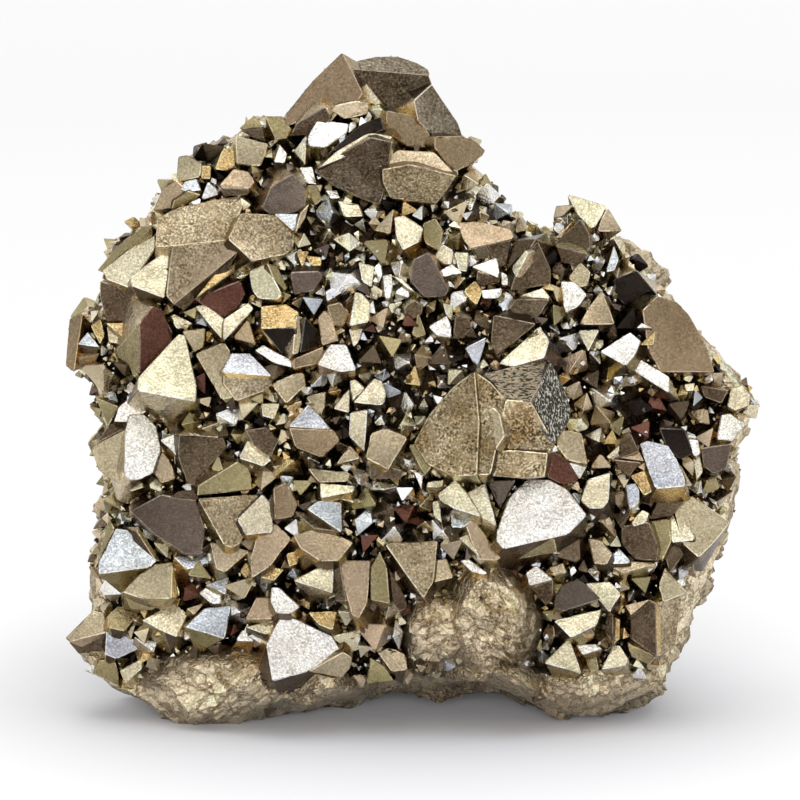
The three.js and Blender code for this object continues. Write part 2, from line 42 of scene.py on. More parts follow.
# ---- the frame of the crystal front: across, up and out of a plane that leans back ------------
MM = 0.001
LEAN = math.radians(12)
ACROSS = np.array([1.0, 0.0, 0.0])
UP = np.array([0.0, math.sin(LEAN), math.cos(LEAN)])
OUT = np.array([0.0, -math.cos(LEAN), math.sin(LEAN)])
SHIFT = np.array([0.398, -14.083, 0.0])  # puts the part's origin under the middle of its box
FRONT_BULGE, RECESS, RIM_BACK = 15.0, 2.6, 2.0
BULGE_MIDDLE, BULGE_REACH, MIDDLE = (1, 50), (60, 62), (0, 48)
BACK_RINGS = [(1.0, 2), (1.0, 8), (0.96, 14), (0.86, 20), (0.62, 24.5), (0.3, 27), (0.0, 27)]
FRONT_RINGS = [(0.0, 1), (0.86, 1), (0.965, 0.45), (1.0, 0)]
LOWER_BACK_SHARE = 0.12

# outline of the body, across and up, clockwise from the summit
OUTLINE = [
  (-11.4, 106.3), (-7, 105.6), (-2.5, 106), (1.9, 104.6), (2.8, 101.6), (5.4, 98.2), (7.3, 95.5),
  (10.2, 92.6), (8.4, 90.9), (9.1, 87.7), (12.3, 85.6), (15.8, 82.4), (19.5, 79.5), (23, 79.2),
  (24.4, 82), (26, 83), (30.6, 82), (33.6, 77.8), (38.6, 72.5), (43.4, 66), (47.8, 61.3),
  (51.2, 57.3), (54.8, 52), (53.7, 48.2), (51.5, 42.9), (50.7, 36.5), (50.2, 30), (48.3, 25.3),
  (45.6, 20), (44.2, 15.7), (41.4, 10), (40.4, 6.7), (34.4, 3.6), (29.4, 1.7), (22.7, 1.7),
  (19.4, 3.3), (14.9, 5.7), (8.3, 6.7), (0.2, 6.7), (-7, 5.6), (-11.2, 4.3), (-17.3, 2.8),
  (-24.5, 0.9), (-32.8, -0.3), (-37, -0.2), (-39.2, 1), (-43.7, 4.2), (-47.2, 6), (-50.5, 8.5),
  (-51.2, 10.9), (-53.6, 13.4), (-50.9, 18.6), (-51.2, 22), (-50.9, 26.9), (-49.7, 33),
  (-48.2, 38.9), (-49.4, 42), (-50, 45.3), (-48.2, 48), (-49.8, 52.5), (-51.6, 55.7),
  (-54.2, 58.9), (-54.2, 64.2), (-50.9, 66.6), (-49.7, 70), (-49.8, 73.3), (-47.2, 76.3),
  (-42.4, 80), (-40.3, 84.3), (-37.2, 87.5), (-36.4, 91), (-33, 92.8), (-29.3, 93.6),
  (-25.4, 97), (-20.6, 97.6), (-17.2, 101.4), (-13.8, 105.5),
]

# Broad faces of the crystals: tone (tarnish colour with painted reflection and shade), looks right, looks up, stands
# proud, corners across and up.
CRYSTALS = [
    # summit and top ridge
    ["N", -0.25, 0.05, 2.5, [-11.2,108.1, -10,105.9, -7.9,101.6, -8.7,100.3, -13.8,99.4, -20.5,96.2, -20.2,98.3, -15.6,103.9]],
    ["T", -0.1, -0.3, 2.2, [-13.8,99.3, -8.7,100.3, -7,99.8, -7.2,98.2, -10.8,97.4]],
    ["D", -0.2, -0.7, 1.2, [-18.4,96.8, -13.8,99.3, -13,97.4, -15.5,95, -19.6,94.6]],
    ["W", 0.0, 0.50, 1.6, [-15.1,97.4, -10.2,96.7, -10.4,95.3, -13.8,92.9, -16.4,93.2, -16.6,94.5]],
    ["A", 0.10, 0.80, 0.6, [-10,106, -8.7,106.9, -5.8,107.6, -2.2,107.7, 0.9,106.6, 2.5,105.6, 2.9,104.7, -2.2,104.9, -7,104.9]],
    ["E", -0.10, -0.10, 2.0, [-9.6,105.5, -7,104.8, -2.2,104.9, 2.6,104.5, 3.2,103, 0.2,100.5, 0.4,97.9, -3.7,98.8, -5.5,100, -8,103]],
    ["C", -0.5, 0.2, 2.0, [-9.7,105.2, -8.2,104.3, -7,101.8, -4.9,100, -6.2,99.7, -8,101.2]],
    ["A", 0.60, 0.05, 1.2, [0.3,100.3, 3.2,103, 5,100, 7.4,96.8, 8.1,94.7, 3.7,94.6, 1,97]],
    ["N", 0.15, 0.10, 1.6, [-4,98.7, 0.3,97.9, 2.6,95.3, 3.5,92.9, -0.4,93, -2.5,94, -4.2,96.6]],
    ["N", 0.35, 0.10, 1.8, [3.7,94.6, 8,94.6, 10.2,93.8, 11.8,92.3, 9.6,90.2, 7,89, 5.2,90.6, 3.6,92.8]],
    ["K", -0.2, 0.55, 4.6, [-13.4,91.9, -8.2,96.5, -5,97.8, -4.5,95.7, -7,95.4, -11.6,92.7]],
    ["C", -0.2, 0.45, 6.2, [-15.2,89.3, -11.9,92.3, -6.8,95.2, -3.1,94.5, -3.7,94.0, -6.5,94.5, -11.3,91.6]],
    ["E", -0.12, -0.15, 4.0, [-15.3,88.9, -11.6,91.7, -6.5,94.3, -3.2,93.6, -4.1,91, -5.3,89.7, -4.3,86.4, -5.2,83.7, -8.1,84.6, -12.9,87]],
    ["T", 0.05, 0.45, 4.0, [-5.4,89.7, -2.2,92.4, 3.6,92, 6.5,88.8, -0.4,90.1]],
    ["Y", 0.05, -0.20, 4.2, [-4.7,89.2, -0.4,90, 7,88.2, 5.3,85.6, 3.7,83.7, -3.4,84.7, -4.6,87.2]],
    # upper left shoulder
    ["T", -0.3, 0.15, 0.5, [-37.5,91.5, -36,91.8, -33.8,90.5, -34,88.3, -36.8,87.6, -37.8,88]],
    ["P", -0.4, 0.0, 0.5, [-37.8,87.7, -36.3,86.3, -38.5,83.2, -41.5,82.8, -40,86.5]],
    ["O", 0.1, -0.4, 0.5, [-38,84.6, -36,86, -33.8,85.3, -36,83.7, -38.5,83]],
    ["G", 0.1, 0.3, 0.5, [-31.5,89.5, -30.3,92.5, -28,93.5, -28.3,90, -29.5,89.2]],
    ["G", -0.2, 0.3, 0.0, [-33.7,90, -32.3,90, -32.3,88, -33.7,88]],
    ["B", 0.0, 0.6, 0.5, [-37,86.3, -36.5,87.5, -34.5,88, -33.8,86.2, -36,85.9]],
    ["P", -0.1, 0.4, 1.5, [-30.7,87, -28.5,89.5, -26.2,89, -25.2,87.5, -26,86.3, -30.5,86.5]],
    ["D", 0.0, -0.5, 1.5, [-30.6,86.4, -26,86.2, -26.2,85.3, -30,85.1]],
    ["T", 0.1, 0.15, 0.5, [-28.2,94.8, -23,93.5, -24.2,90, -28,90.2]],
    ["O", -0.2, 0.4, 0.5, [-27.8,96, -25.3,98.2, -23.7,96.3, -25.5,95.8]],
    ["D", 0.0, -0.5, 0.5, [-27.5,95.6, -24,96, -23.5,93.8, -25,94.2]],
    ["O", 0.1, 0.3, 0.5, [-23.5,98, -20.8,98, -19.3,96, -20,94.5, -21.8,94.2, -22.5,96.2]],
    ["S", 0.05, -0.15, 2.0, [-24,83, -22.5,86.5, -19,88.5, -17,86.3, -17,83.5, -18.5,82.5, -22.5,82.1]],
    ["B", 0.1, 0.5, 1.0, [-22,82.3, -18,82.3, -18.8,79.4]],
    ["T", 0.6, 0.1, 1.0, [-17.8,82.3, -16.4,83.8, -17,81.5, -18.6,79]],
    ["W", 0.0, 0.5, 0.5, [-18,89.7, -16,89.8, -15.2,87, -16.8,87.2]],
    ["W", 0.1, 0.5, 0.5, [-21.2,93.5, -20,92, -20.3,90.5, -22,90.6]],
    ["W", 0.0, 0.5, 0.5, [-13.8,86, -12,86, -11.5,84.8, -13,84.7]],
    ["O", 0.0, 0.2, 0.5, [-16.8,86.7, -15.2,86.8, -14.3,84.5, -15.5,83.6]],
    ["C", 0.0, 0.4, 0.5, [-11.8,84.4, -8.5,83.7, -7.8,81.9, -10.8,81.8]],
    ["C", 0.05, 0.4, 1.5, [-2.8,81.7, -1.3,82, 1.7,80, 1.2,77.8, -1.5,76.4, -2.5,78.5]],
    ["T", -0.3, 0.1, 1.0, [-6,79.6, -3,83, -3.5,79]],
    # the broad left plates
    ["M", -0.15, 0.55, 2.0, [-40.7,81.5, -38,83.2, -28,85.2, -26.8,84.5, -28.5,80, -29.7,78, -38.5,77.1, -41,77]],
    ["M", -0.10, 0.15, 2.5, [-38.3,77.1, -29.6,77.9, -27,77, -30,75, -38,67.8, -39.2,69.2, -38.8,73]],
    ["D", 0.5, -0.7, 2.0, [-27.3,76.6, -38,67.8, -36.3,66.8, -29.3,73.2]],
    ["G", 0.2, 0.6, 1.5, [-29.8,74.8, -28.2,74.5, -28.5,73, -34.5,68.7]],
    ["M", 0.15, 0.35, 2.0, [-27.3,82.3, -22,82.1, -18.8,79.3, -19,76.5, -20.5,75.7, -25.5,74.7, -27.5,77, -29.3,78.2]],
    ["C", -0.3, 0.40, 2.0, [-49.6,73.3, -41,80.2, -41.2,76.6, -45,73.3, -45.3,70.5, -49,71.9]],
    ["O", -0.9, 0.3, 1.5, [-50.5,73.3, -47.6,76.8, -43.3,80.2, -41.5,80.4, -49.6,73]],
    ["C", -0.05, 0.40, 3.0, [-45,72.2, -38.3,77, -39.5,73, -39.5,68.8, -44.8,70.8]],
    ["D", -0.3, -0.2, 1.0, [-50,71.5, -45,70.3, -45,65.2, -49,65, -50,69]],
    # left edge
    ["N", -0.7, 0.1, 1.0, [-55,65.5, -52.8,66.3, -53.2,64, -54.3,62.5, -54.2,57, -55.6,58]],
    ["B", -0.1, 0.5, 0.5, [-53.7,61.5, -52,63.5, -50,61]],
    ["G", -0.3, 0.2, 0.5, [-51.5,64.5, -50,65.5, -49.3,63, -50,61.5]],
    ["G", -0.1, 0.4, 1.0, [-49,64.9, -45,64.9, -45.5,62]],
    ["T", -0.1, 0.4, 0.5, [-48.8,64.3, -45.8,61.4, -48.5,61.8]],
    ["R", 0.45, -0.1, 3.5, [-43.3,65, -41.5,67.3, -40,67, -38,62.8, -41,57.2, -43.5,56.8]],
    ["O", -0.7, 0.1, 3.0, [-44.7,66, -43.3,67.2, -43.3,65, -43.7,56.7, -44.5,56.2, -45.8,60]],
    ["C", 0.0, 0.40, 3.0, [-37.3,63.2, -36.2,62.8, -34.3,54.5, -34.5,52.3, -43.7,54, -43.7,56, -41,57.5, -38.4,61.8]],
    ["D", 0.0, -0.8, 2.0, [-43.5,53.8, -34.5,52.1, -35,51.3, -38,51.5, -42,52.8]],
    ["C", -0.1, 0.40, 1.5, [-34.6,67.5, -33,67.8, -30,65.5, -30,62, -32,64.2]],
    ["C", 0.1, 0.45, 1.5, [-30,65.5, -28.5,65.3, -26,68.2, -25.2,67, -30,62]],
    ["R", 0.0, -0.25, 1.0, [-34.7,68.6, -27.5,71.5, -26.5,69.5, -28.5,66, -30,65.6, -33,67.8]],
    ["C", 0.0, 0.4, 0.5, [-38.7,65.8, -38,66.3, -35,64.8, -37.5,63.8]],
    ["T", -0.1, 0.2, 0.5, [-36.8,63.5, -33,64, -33.3,61.2, -34.7,60]],
    ["T", -0.25, 0.15, 2.0, [-34.5,59.8, -30,61.7, -29,60.2, -30.5,57.5, -28.6,53, -30.3,52.6]],
    ["B", 0.1, 0.70, 2.0, [-30.3,57, -28.8,60, -25.8,60, -25.5,58.3, -22.3,56.4]],
    ["M", 0.0, 0.05, 2.0, [-30,56.9, -22.3,56.3, -22.2,55, -23.5,54, -28,52.4, -30,55]],
    ["C", -0.3, 0.2, 2.0, [-26,73, -23.3,74.2, -20.8,69.3, -21.5,68.5, -24.5,68.7, -25.5,70]],
    ["O", 0.6, 0.1, 1.5, [-23,74.2, -21.5,73.8, -19.8,70.3, -21,69.2]],
    ["G", 0.0, 0.75, 2.0, [-24,67.5, -20,67.8, -18,66.5, -18.5,63.9, -24,64]],
    ["K", -0.05, -0.45, 2.0, [-24,63.9, -18.8,64, -18.3,63, -19,59.8, -20.5,59.5]],
    ["T", 0.5, 0.2, 2.0, [-18.4,66, -17,65.5, -18,60, -19,59.8]],
    ["K", 0.6, -0.2, 1.0, [-17,65.7, -14.5,63, -14.8,61, -17.8,60]],
    ["W", 0.0, 0.5, 1.5, [-25,60.5, -23.7,61.3, -19,58.7, -18.9,57.7, -22,58.5]],
    ["N", 0.2, 0.1, 1.5, [-18.8,59, -14,61, -14.3,58.5, -18.8,57.5]],
    ["W", 0.0, 0.30, 2.5, [-13,61.3, -10.5,61.3, -8.9,57.3, -11.5,57, -15,58.2]],
    ["S", 0.0, -0.3, 1.0, [-19.3,72.8, -14.8,73, -14.3,72, -15.5,70, -18.8,69.3]],
    ["G", 0.1, 0.4, 0.5, [-16.8,75.5, -14.5,75.3, -14.5,74, -16,74]],
    ["G", 0.1, 0.3, 0.5, [-18.5,76.3, -16.5,76.2, -17.5,73.8]],
    ["B", 0.0, 0.5, 0.5, [-13.8,69.8, -12.2,70.8, -11.2,69.7, -13.5,68.3]],
    ["N", 0.0, 0.0, 1.0, [-13.5,67.5, -11.5,68, -10,66.5, -11,64.2, -12.5,64.5]],
    ["C", 0.1, 0.40, 1.5, [-9,69.7, -8,69.5, -6.7,68, -6.9,65, -9.9,64.4]],
    ["P", -0.1, 0.3, 1.0, [-15,65.5, -14,66.8, -13,66, -11.7,62, -14.3,61.3]],
    ["C", 0.1, 0.3, 1.0, [-10,63.8, -7.8,64.5, -8.5,61.8, -9.3,61]],
    ["C", -0.1, 0.4, 1.0, [-9.9,55.6, -9,55.8, -7.5,54.4, -9.4,52.4]],
    ["C", 0.1, 0.35, 1.5, [-9.3,52.2, -6,56, -4.8,55.6, -4.1,53.5, -4.5,52, -5.2,51.7]],
    ["C", -0.1, 0.3, 1.0, [-12.5,51.2, -10,54.3, -10,50.5]],
    ["T", 0.1, 0.2, 0.5, [-16.8,53, -13.7,54, -14,51, -15,50.2]],
    ["T", 0.0, 0.2, 1.5, [-18.5,56.8, -17.3,56.8, -17,54.8, -20,52, -22,54.5, -22,55.2]],
    ["C", 0.1, 0.2, 1.0, [-24,52, -21,52, -22,49.5, -23.8,50]],
    # upper middle
    ["W", 0.0, 0.4, 0.5, [-4.6,72.3, -3.3,72.6, -3,71, -3.5,68.7, -4.3,68.8]],
    ["W", 0.2, 0.5, 0.5, [-3.1,72.3, -1.5,71.7, 0.8,69.4, -0.8,70.3]],
    ["C", 0.0, 0.3, 0.5, [-8.5,74.5, -6,73.8, -6.5,70.5, -8,71.5]],
    ["S", 0.0, -0.15, 1.5, [0.2,74.8, 2.7,76, 5.8,70, 5.2,68.9, 2,68.9, -0.3,71.5]],
    ["W", 0.0, 0.35, 1.0, [2.7,64.2, 5.5,66, 6.2,64.5, 6.2,62.5, 4,62.8]],
    ["C", 0.3, 0.2, 0.5, [4.9,68, 6.5,67.5, 6.5,64.8, 5.5,66]],
    ["D", 0.2, -0.2, 1.0, [7,66, 9,65.5, 9.6,64, 8,62.2, 6.5,62.4]],
    ["O", 0.0, 0.1, 0.5, [1,66.3, 2.2,63, 1,62.4, 0,63]],
    ["D", 0.0, -0.2, 0.5, [-1,67.5, 0.5,68.3, 1.7,67.5, 1.5,66, 0,65.2, -1.2,66.3]],
    ["P", 0.0, 0.50, 1.5, [7.3,80.8, 10.3,81, 15.7,79.7, 16.2,78.3, 12.8,77.9, 9.3,76.8, 8.3,78]],
    ["D", 0.2, -0.2, 1.0, [11.5,77.2, 15.9,78, 15,74, 14,73.6, 12.6,75.2]],
    ["D", 0.0, -0.4, 1.0, [9.8,76.6, 12,77.3, 12.4,75.2, 10.5,74.8]],
    ["W", 0.0, 0.4, 1.0, [9.5,73.8, 13.5,75.3, 14,72.8, 13.7,72]],
    ["W", 0.2, 0.4, 0.5, [14.2,73, 15,72.5, 15.9,70.8, 14.3,70.9]],
    ["W", 0.0, 0.4, 1.0, [11,70, 14.3,70.4, 14.3,69.3, 13.5,68.7, 11.3,68.8]],
    ["D", 0.0, -0.4, 0.5, [10.3,72.9, 14,72.2, 13.8,71, 10.3,70.5]],
    ["C", -0.2, 0.3, 1.0, [4.8,77.3, 6.5,76.3, 6.2,74.3, 5,74.2, 3.5,75.3]],
    ["C", 0.2, 0.3, 1.0, [6.8,76, 9,76, 8.8,73, 7.5,73.2]],
    ["W", 0.0, 0.5, 1.0, [4.6,73.2, 6.3,74.2, 8,72.8, 5,72.2]],
    ["O", 0.0, 0.1, 1.0, [1.8,80.6, 3.7,81.4, 4.9,79.5, 4.3,76.3, 2,77.5]],
    ["G", 0.1, 0.3, 1.0, [8.3,70, 10,71.5, 11.2,70, 10.3,67.7, 9,68.8]],
    ["D", 0.25, -0.1, 2.5, [17.9,75.3, 20,77.8, 22,73.5, 22,71, 15.7,69.9, 16.5,72.5]],
    ["C", -0.6, 0.1, 4.2, [18,76.3, 18.4,75.8, 16.5,72, 15.8,73.5]],
    ["D", -0.8, 0.1, 1.5, [16.3,78, 19.7,78.1, 17.5,75, 15.6,71.5, 14.9,74.5]],
    ["C", 0.0, 0.6, 1.5, [17,69.1, 20.8,70.4, 21.9,69, 21.8,68.7]],
    ["D", 0.1, -0.3, 1.0, [16.5,68.5, 22,68.5, 20,65.5, 17,65.3, 15.5,67]],
    ["D", -0.1, -0.2, 1.5, [13,66, 19.7,64.6, 13.5,59.5, 12.5,61.5]],
    ["C", -0.25, 0.60, 2.5, [13.7,58.3, 20.3,64.3, 21.8,62, 21,59.3, 19.5,58.9, 16,57.9]],
    # right shoulder
    ["D", 0.1, 0.05, 1.5, [22.8,77.5, 26.8,81.3, 28.3,79, 28.5,77, 27.8,76.2, 23,77.2]],
    ["D", 0.0, -0.5, 1.5, [23,77, 28,75.8, 27,74, 24,74.3]],
    ["P", -0.6, 0.3, 1.0, [22.7,78.3, 25.5,81, 23.2,77.6]],
    ["C", 0.2, 0.5, 0.5, [24.8,85.5, 31.2,83.5, 29.3,80.3, 28.5,80, 26.3,82.5]],
    ["T", -0.3, 0.1, 0.5, [22.5,81.5, 23,83.5, 25.8,83.7, 24,81.8]],
    ["T", 0.3, 0.1, 0.5, [31.3,83.2, 33.7,79.5, 29.7,79.5, 30.3,81.5]],
    ["T", 0.1, 0.25, 1.5, [26.8,74.5, 28.4,73, 28,70.8, 26.2,70.5, 25,72]],
    ["W", 0.1, 0.40, 2.0, [23.8,71.5, 26,71.3, 27.8,69.3, 26.5,67.5, 24.5,66.4, 24.2,67.5]],
    ["C", 0.2, 0.2, 1.0, [32.3,78.3, 33.3,78.8, 34.9,75.6, 34.2,75.1, 33.2,76.5]],
    ["B", 0.1, 0.4, 1.0, [31,73, 32.3,77.2, 33,75, 32.3,73.2]],
    ["K", 0.1, -0.3, 0.0, [32.3,71.8, 35.9,73.2, 37,71, 39.2,69.3, 34.5,67, 32.4,69.5]],
    ["P", 0.0, 0.30, 2.0, [30.2,70, 32.3,64.6, 26.7,64.6, 28,67]],
    ["C", 0.0, 0.1, 1.5, [26.5,63.5, 29.8,63.7, 28,60.2]],
    ["W", -0.1, 0.5, 2.5, [30,60.3, 34.8,63.4, 36.4,62, 35.5,59.7, 34,58]],
    ["W", -0.1, 0.5, 2.5, [34,58.2, 35.6,59.6, 38.8,56, 41,56.3, 40.9,53.7, 38.3,55.3]],
    ["N", 0.35, 0.0, 3.0, [39.2,69.1, 42.5,68.1, 44.3,66, 47.2,60.8, 48.3,57, 39.7,57, 37.7,60.5, 36.8,66.8]],
    ["W", 0.0, 0.5, 3.0, [35.8,64, 36.6,64.8, 38.2,64]],
    ["G", -0.3, 0.1, 3.0, [36.3,61.3, 38.7,63.4, 38.4,61.3]],
    # right edge
    ["C", 0.2, 0.3, 1.5, [51.2,54.5, 53,55, 54.3,53.3, 54,51.5, 52,50.8, 50.5,51.6]],
    ["C", 0.5, 0.2, 1.0, [53.8,52, 55.8,51.8, 55.2,49.5, 53,50.3]],
    ["W", 0.1, 0.35, 1.5, [49.5,50.2, 51,50.4, 53.4,48.5, 51.4,46, 48.8,46.3]],
    ["C", 0.1, 0.4, 1.0, [43.5,55, 45.2,55.3, 45,54, 43.8,54]],
    ["D", 0.1, 0.1, 1.0, [46.2,54.8, 50.5,54, 49.5,52, 46.8,53]],
    ["S", 0.25, -0.1, 1.5, [46.3,44.8, 51.2,45.5, 50.3,41.5, 48.2,40.7, 46.6,42]],
    ["K", 0.3, -0.2, 1.5, [39.5,48, 43.5,47.8, 45,44, 42.8,43, 40.5,45.3]],
    ["W", 0.1, 0.4, 1.5, [43.7,46.2, 45.8,46.2, 46,44, 45.2,43.5]],
    ["C", 0.3, 0.2, 1.5, [45,43.5, 46,43.8, 46.5,41, 45.5,39.8]],
    ["B", 0.1, 0.40, 2.5, [36.3,45.5, 37.5,46.1, 40.8,45.3, 42,43.5, 43.5,40, 43.5,38.8, 38.8,38.4, 38.3,40]],
    ["T", 0.7, 0.0, 1.5, [41.7,43.2, 43,42, 44.8,39, 43.7,38.6]],
    ["D", 0.0, 0.0, 1.0, [33.3,46.5, 34.8,47.2, 36.2,44.3, 33.5,43.3, 31.8,43.5]],
    ["C", -0.5, 0.3, 1.0, [31,43.5, 33,45.3, 32.9,44.2, 31.3,43.2]],
    ["P", 0.2, 0.4, 1.0, [33.3,43.3, 36.3,44.3, 37,42.8]],
    ["C", 0.0, 0.35, 2.5, [28,39.8, 31.5,41, 31.3,36.5, 30.3,35.3, 28,35.3, 26.8,36.5]],
    ["B", 0.0, 0.3, 1.5, [34,39, 36.3,39.3, 36.2,36.2, 35,35.2, 34.6,35.3]],
    ["G", 0.1, 0.3, 1.5, [34.9,40.5, 37.5,41.5, 38.8,38.3, 37,37.3, 36.5,38.8]],
    ["D", 0.0, -0.2, 1.0, [32,43, 36.5,42.5, 34.5,40.3, 33.5,41]],
    ["D", 0.0, -0.6, 1.5, [39,38.2, 42,38.7, 44,38, 43.5,37, 39.5,36.8]],
    ["C", 0.0, 0.4, 1.0, [35,33, 36.8,35, 37.8,34.5, 37.3,33, 35.3,32.3]],
    ["D", 0.0, -0.2, 1.0, [38,33.5, 39.3,36.3, 43.5,36.2, 41.5,34]],
    ["T", 0.20, 0.30, 2.5, [42,34.8, 44.7,37.2, 46.2,35, 50.9,33, 48.3,29.8, 45.8,27.4, 43.3,29.6]],
    ["C", -0.2, 0.4, 2.0, [41,33.6, 42.1,34.6, 45,31, 45,30.2, 41.5,29.8]],
    ["O", -0.2, 0.0, 1.5, [38,33, 40.9,33.5, 41.4,30, 40,27, 39,27]],
    ["D", -0.1, -0.1, 1.5, [33.5,32.3, 37.8,33, 39.3,29, 39,26.8, 35.5,27.2, 33.5,29.5]],
    ["T", -0.1, 0.3, 1.5, [28.1,30.5, 30,30.2, 31.9,28, 31,26.3, 29,26.5]],
    ["B", 0.0, 0.6, 1.0, [31,26.4, 33,29, 34.8,27, 34.7,26.5]],
    ["T", 0.0, 0.6, 1.0, [30.5,26.3, 34.8,26.8, 39.3,26.5, 34,25]],
    ["D", 0.1, -0.1, 1.5, [40.3,28.5, 42.5,29.6, 44,28.6, 41.2,24.8]],
    ["T", 0.3, 0.2, 1.5, [39.5,22.8, 40.4,25.8, 44,21.7, 40.2,20.2]],
    ["W", 0.1, 0.4, 1.0, [44.3,28.4, 45.6,27.5, 44.9,25.8]],
    # the great pyramid in the middle
    ["X", -0.30, 0.05, 5.2, [6.4,54.4, 9.9,57.1, 10.6,49, 10.2,40.6, 6.5,40.4, 2.4,42.4, 0.3,45.6, 2.6,50]],
    ["X", -0.12, 0.05, 6.9, [9.8,57.1, 12.5,55.2, 14.9,52.5, 14,49.3, 13.3,46, 12.4,40.6, 10.2,40.6, 10.7,49]],
    ["T", -0.45, 0.1, 8.2, [12.5,51.6, 13.8,50.5, 14.6,46.8, 13.2,44.6]],
    ["H", 0.05, 0.70, 4.9, [11.5,56.8, 16,57.8, 21.9,58.9, 21.1,56.2, 18.7,52.1, 14.9,52.3]],
    ["V", 0.60, 0.10, 5.0, [22.1,58.6, 24.3,54.1, 25.3,50.7, 25,49.3, 22.6,45.3, 20.5,47.7, 18.7,52.1, 21.1,56.2]],
    ["X", 0.15, -0.30, 6.4, [14.9,52.5, 18.9,52.2, 22.6,45.3, 21.3,43.7, 15.7,44.3, 13.5,46.2]],
    ["X", 0.0, -0.20, 5.8, [12,44.3, 16,44.5, 21.5,44, 21,40.3, 18,40, 12.3,40.5]],
    ["R", 0.3, -0.2, 2.5, [22.6,44.2, 24.8,43, 26.4,39.7, 24.2,38.9, 21.6,40.3]],
    ["T", 0.3, 0.3, 2.5, [23,45.3, 23.8,47.8, 27,47.2, 28,42.2, 24.8,43]],
    ["W", 0.3, 0.0, 2.5, [24.8,43, 28,42.2, 26.7,39.9]],
    ["W", 0.10, 0.30, 4.2, [18.4,40, 21.8,39.8, 24.5,38.4, 27.7,34.2, 24.8,31.2, 14.6,28.9, 13.4,30.2, 13.6,31.8, 15.4,36.9]],
    ["O", 0.0, -0.9, 4.2, [15,28.7, 22.5,30.5, 23,28.3, 16,26.9]],
    ["C", -0.2, 0.30, 4.0, [4.1,37.5, 6.8,39.8, 8.7,37.7, 10.8,34, 6.7,35.3, 4.6,36.4]],
    ["C", 0.0, 0.30, 4.0, [8.7,37.7, 11.6,39.3, 12.5,36, 13.4,32.5, 10.5,34.2]],
    ["S", 0.0, -0.2, 1.5, [12,39.6, 16.5,39.8, 14,35]],
    ["P", 0.2, 0.15, 3.0, [8.6,32.5, 9.8,33.5, 14.1,27.5, 13.5,27, 10.5,27.2]],
    ["C", -0.5, 0.2, 2.5, [7.3,30.5, 8.7,31.2, 10.8,27.4]],
    ["B", 0.0, 0.4, 2.0, [6.2,35.2, 9.5,33.2, 8,32.2, 6.3,32.3]],
    ["C", -0.2, 0.3, 1.5, [3.3,36.3, 4.3,36.5, 4.7,33, 3.5,34]],
    ["C", 0.0, 0.4, 1.5, [2.5,39.5, 5,39.8, 4.9,38.6, 2.3,38.7]],
    ["W", -0.1, 0.4, 1.0, [0.2,41.2, 1.8,40.8, 1.5,38.3]],
    ["O", -0.1, 0.2, 2.0, [-0.5,45.3, 2.5,45.8, 3.3,42.3, 2,40.5]],
    # lower middle
    ["M", 0.0, 0.25, 3.0, [-4.3,29.6, 4,30.1, 3.4,23.7, 1.8,21]],
    ["T", 0.1, 0.3, 2.0, [3.4,27, 5.5,27.3, 6.5,24.3, 3.5,23.6]],
    ["W", 0.1, 0.5, 2.0, [7.8,27, 9,27.2, 12,25, 11.3,24.7, 9.3,25.3]],
    ["T", -0.2, 0.1, 1.5, [-0.3,18, 1,18, 1,15, -0.5,15.5]],
    ["W", 0.0, 0.35, 2.5, [18.2,25.1, 19.8,26.2, 22.4,24, 18.7,23]],
    ["D", 0.0, -0.4, 2.5, [19,22.9, 22.4,23.8, 22.4,20.9, 21.3,19.7]],
    ["W", 0.0, 0.3, 1.5, [16,20.9, 18.1,20, 16.8,18.2]],
    ["T", 0.0, 0.3, 1.5, [21.9,25.8, 24,26.5, 24.5,25, 22.5,24.5]],
    ["S", 0.0, 0.1, 1.0, [23,22.5, 26.5,24, 30.3,20.8, 24,18.8, 22.7,19.5]],
    ["C", 0.1, 0.3, 2.0, [27.8,23.3, 31.5,23.5, 33.3,21.6, 31.5,18.6, 30.4,20]],
    ["C", 0.0, 0.4, 2.0, [22.7,17.3, 30.4,19.2, 29.4,16.6, 25.4,14.6]],
    ["N", 0.0, 0.1, 2.5, [25.8,15.2, 27.8,17.2, 29.2,15]],
    ["C", 0.0, 0.30, 2.5, [25.1,14.5, 27,8.8, 21.1,10.6]],
    ["W", 0.0, 0.4, 1.5, [26.2,13.4, 29.4,13.5, 30.4,12.8, 27.2,11.8]],
    ["O", 0.0, 0.1, 1.5, [27.5,11.6, 29.5,11.5, 29.8,9.5, 28.5,9]],
    ["C", 0.1, 0.35, 1.5, [32.2,13.3, 33.3,13.3, 34.6,11.2, 34,10, 30.3,9.5]],
    ["G", 0.3, 0.1, 1.5, [32.2,17.9, 33.3,17.4, 33.2,14.4, 32.2,13.5]],
    ["D", -0.4, 0.0, 1.5, [31,18.2, 32.1,17.9, 32.1,13.6, 30.8,15.5]],
    ["D", -0.35, 0.0, 3.0, [37.9,20.6, 38.9,20, 39.1,11.6, 34.9,14.4, 35,18.2]],
    ["M", 0.70, 0.0, 3.0, [38.9,20, 43.3,21.1, 42.2,13.3, 39.5,11.5]],
    ["P", -0.2, 0.6, 2.5, [34,19.7, 37.9,20.7, 34.9,18.2]],
    ["O", -0.2, -0.5, 2.5, [34.5,13.6, 39,11.5, 38,10.2, 35,11.5]],
    # lower left
    ["W", -0.1, 0.5, 1.0, [-44,53.9, -40.8,51.7, -43.5,50.9, -45.4,49.1, -47.7,49.1, -47,51.2]],
    ["O", -0.5, 0.2, 0.5, [-50.8,53, -47,51.4, -48.7,48.3]],
    ["W", 0.15, 0.30, 3.5, [-45,50.1, -42.9,50.2, -40.8,48.2, -40.1,44.5, -41.4,40.8, -43.7,39.8, -45,39.8, -45.8,40.8, -45.8,47.5]],
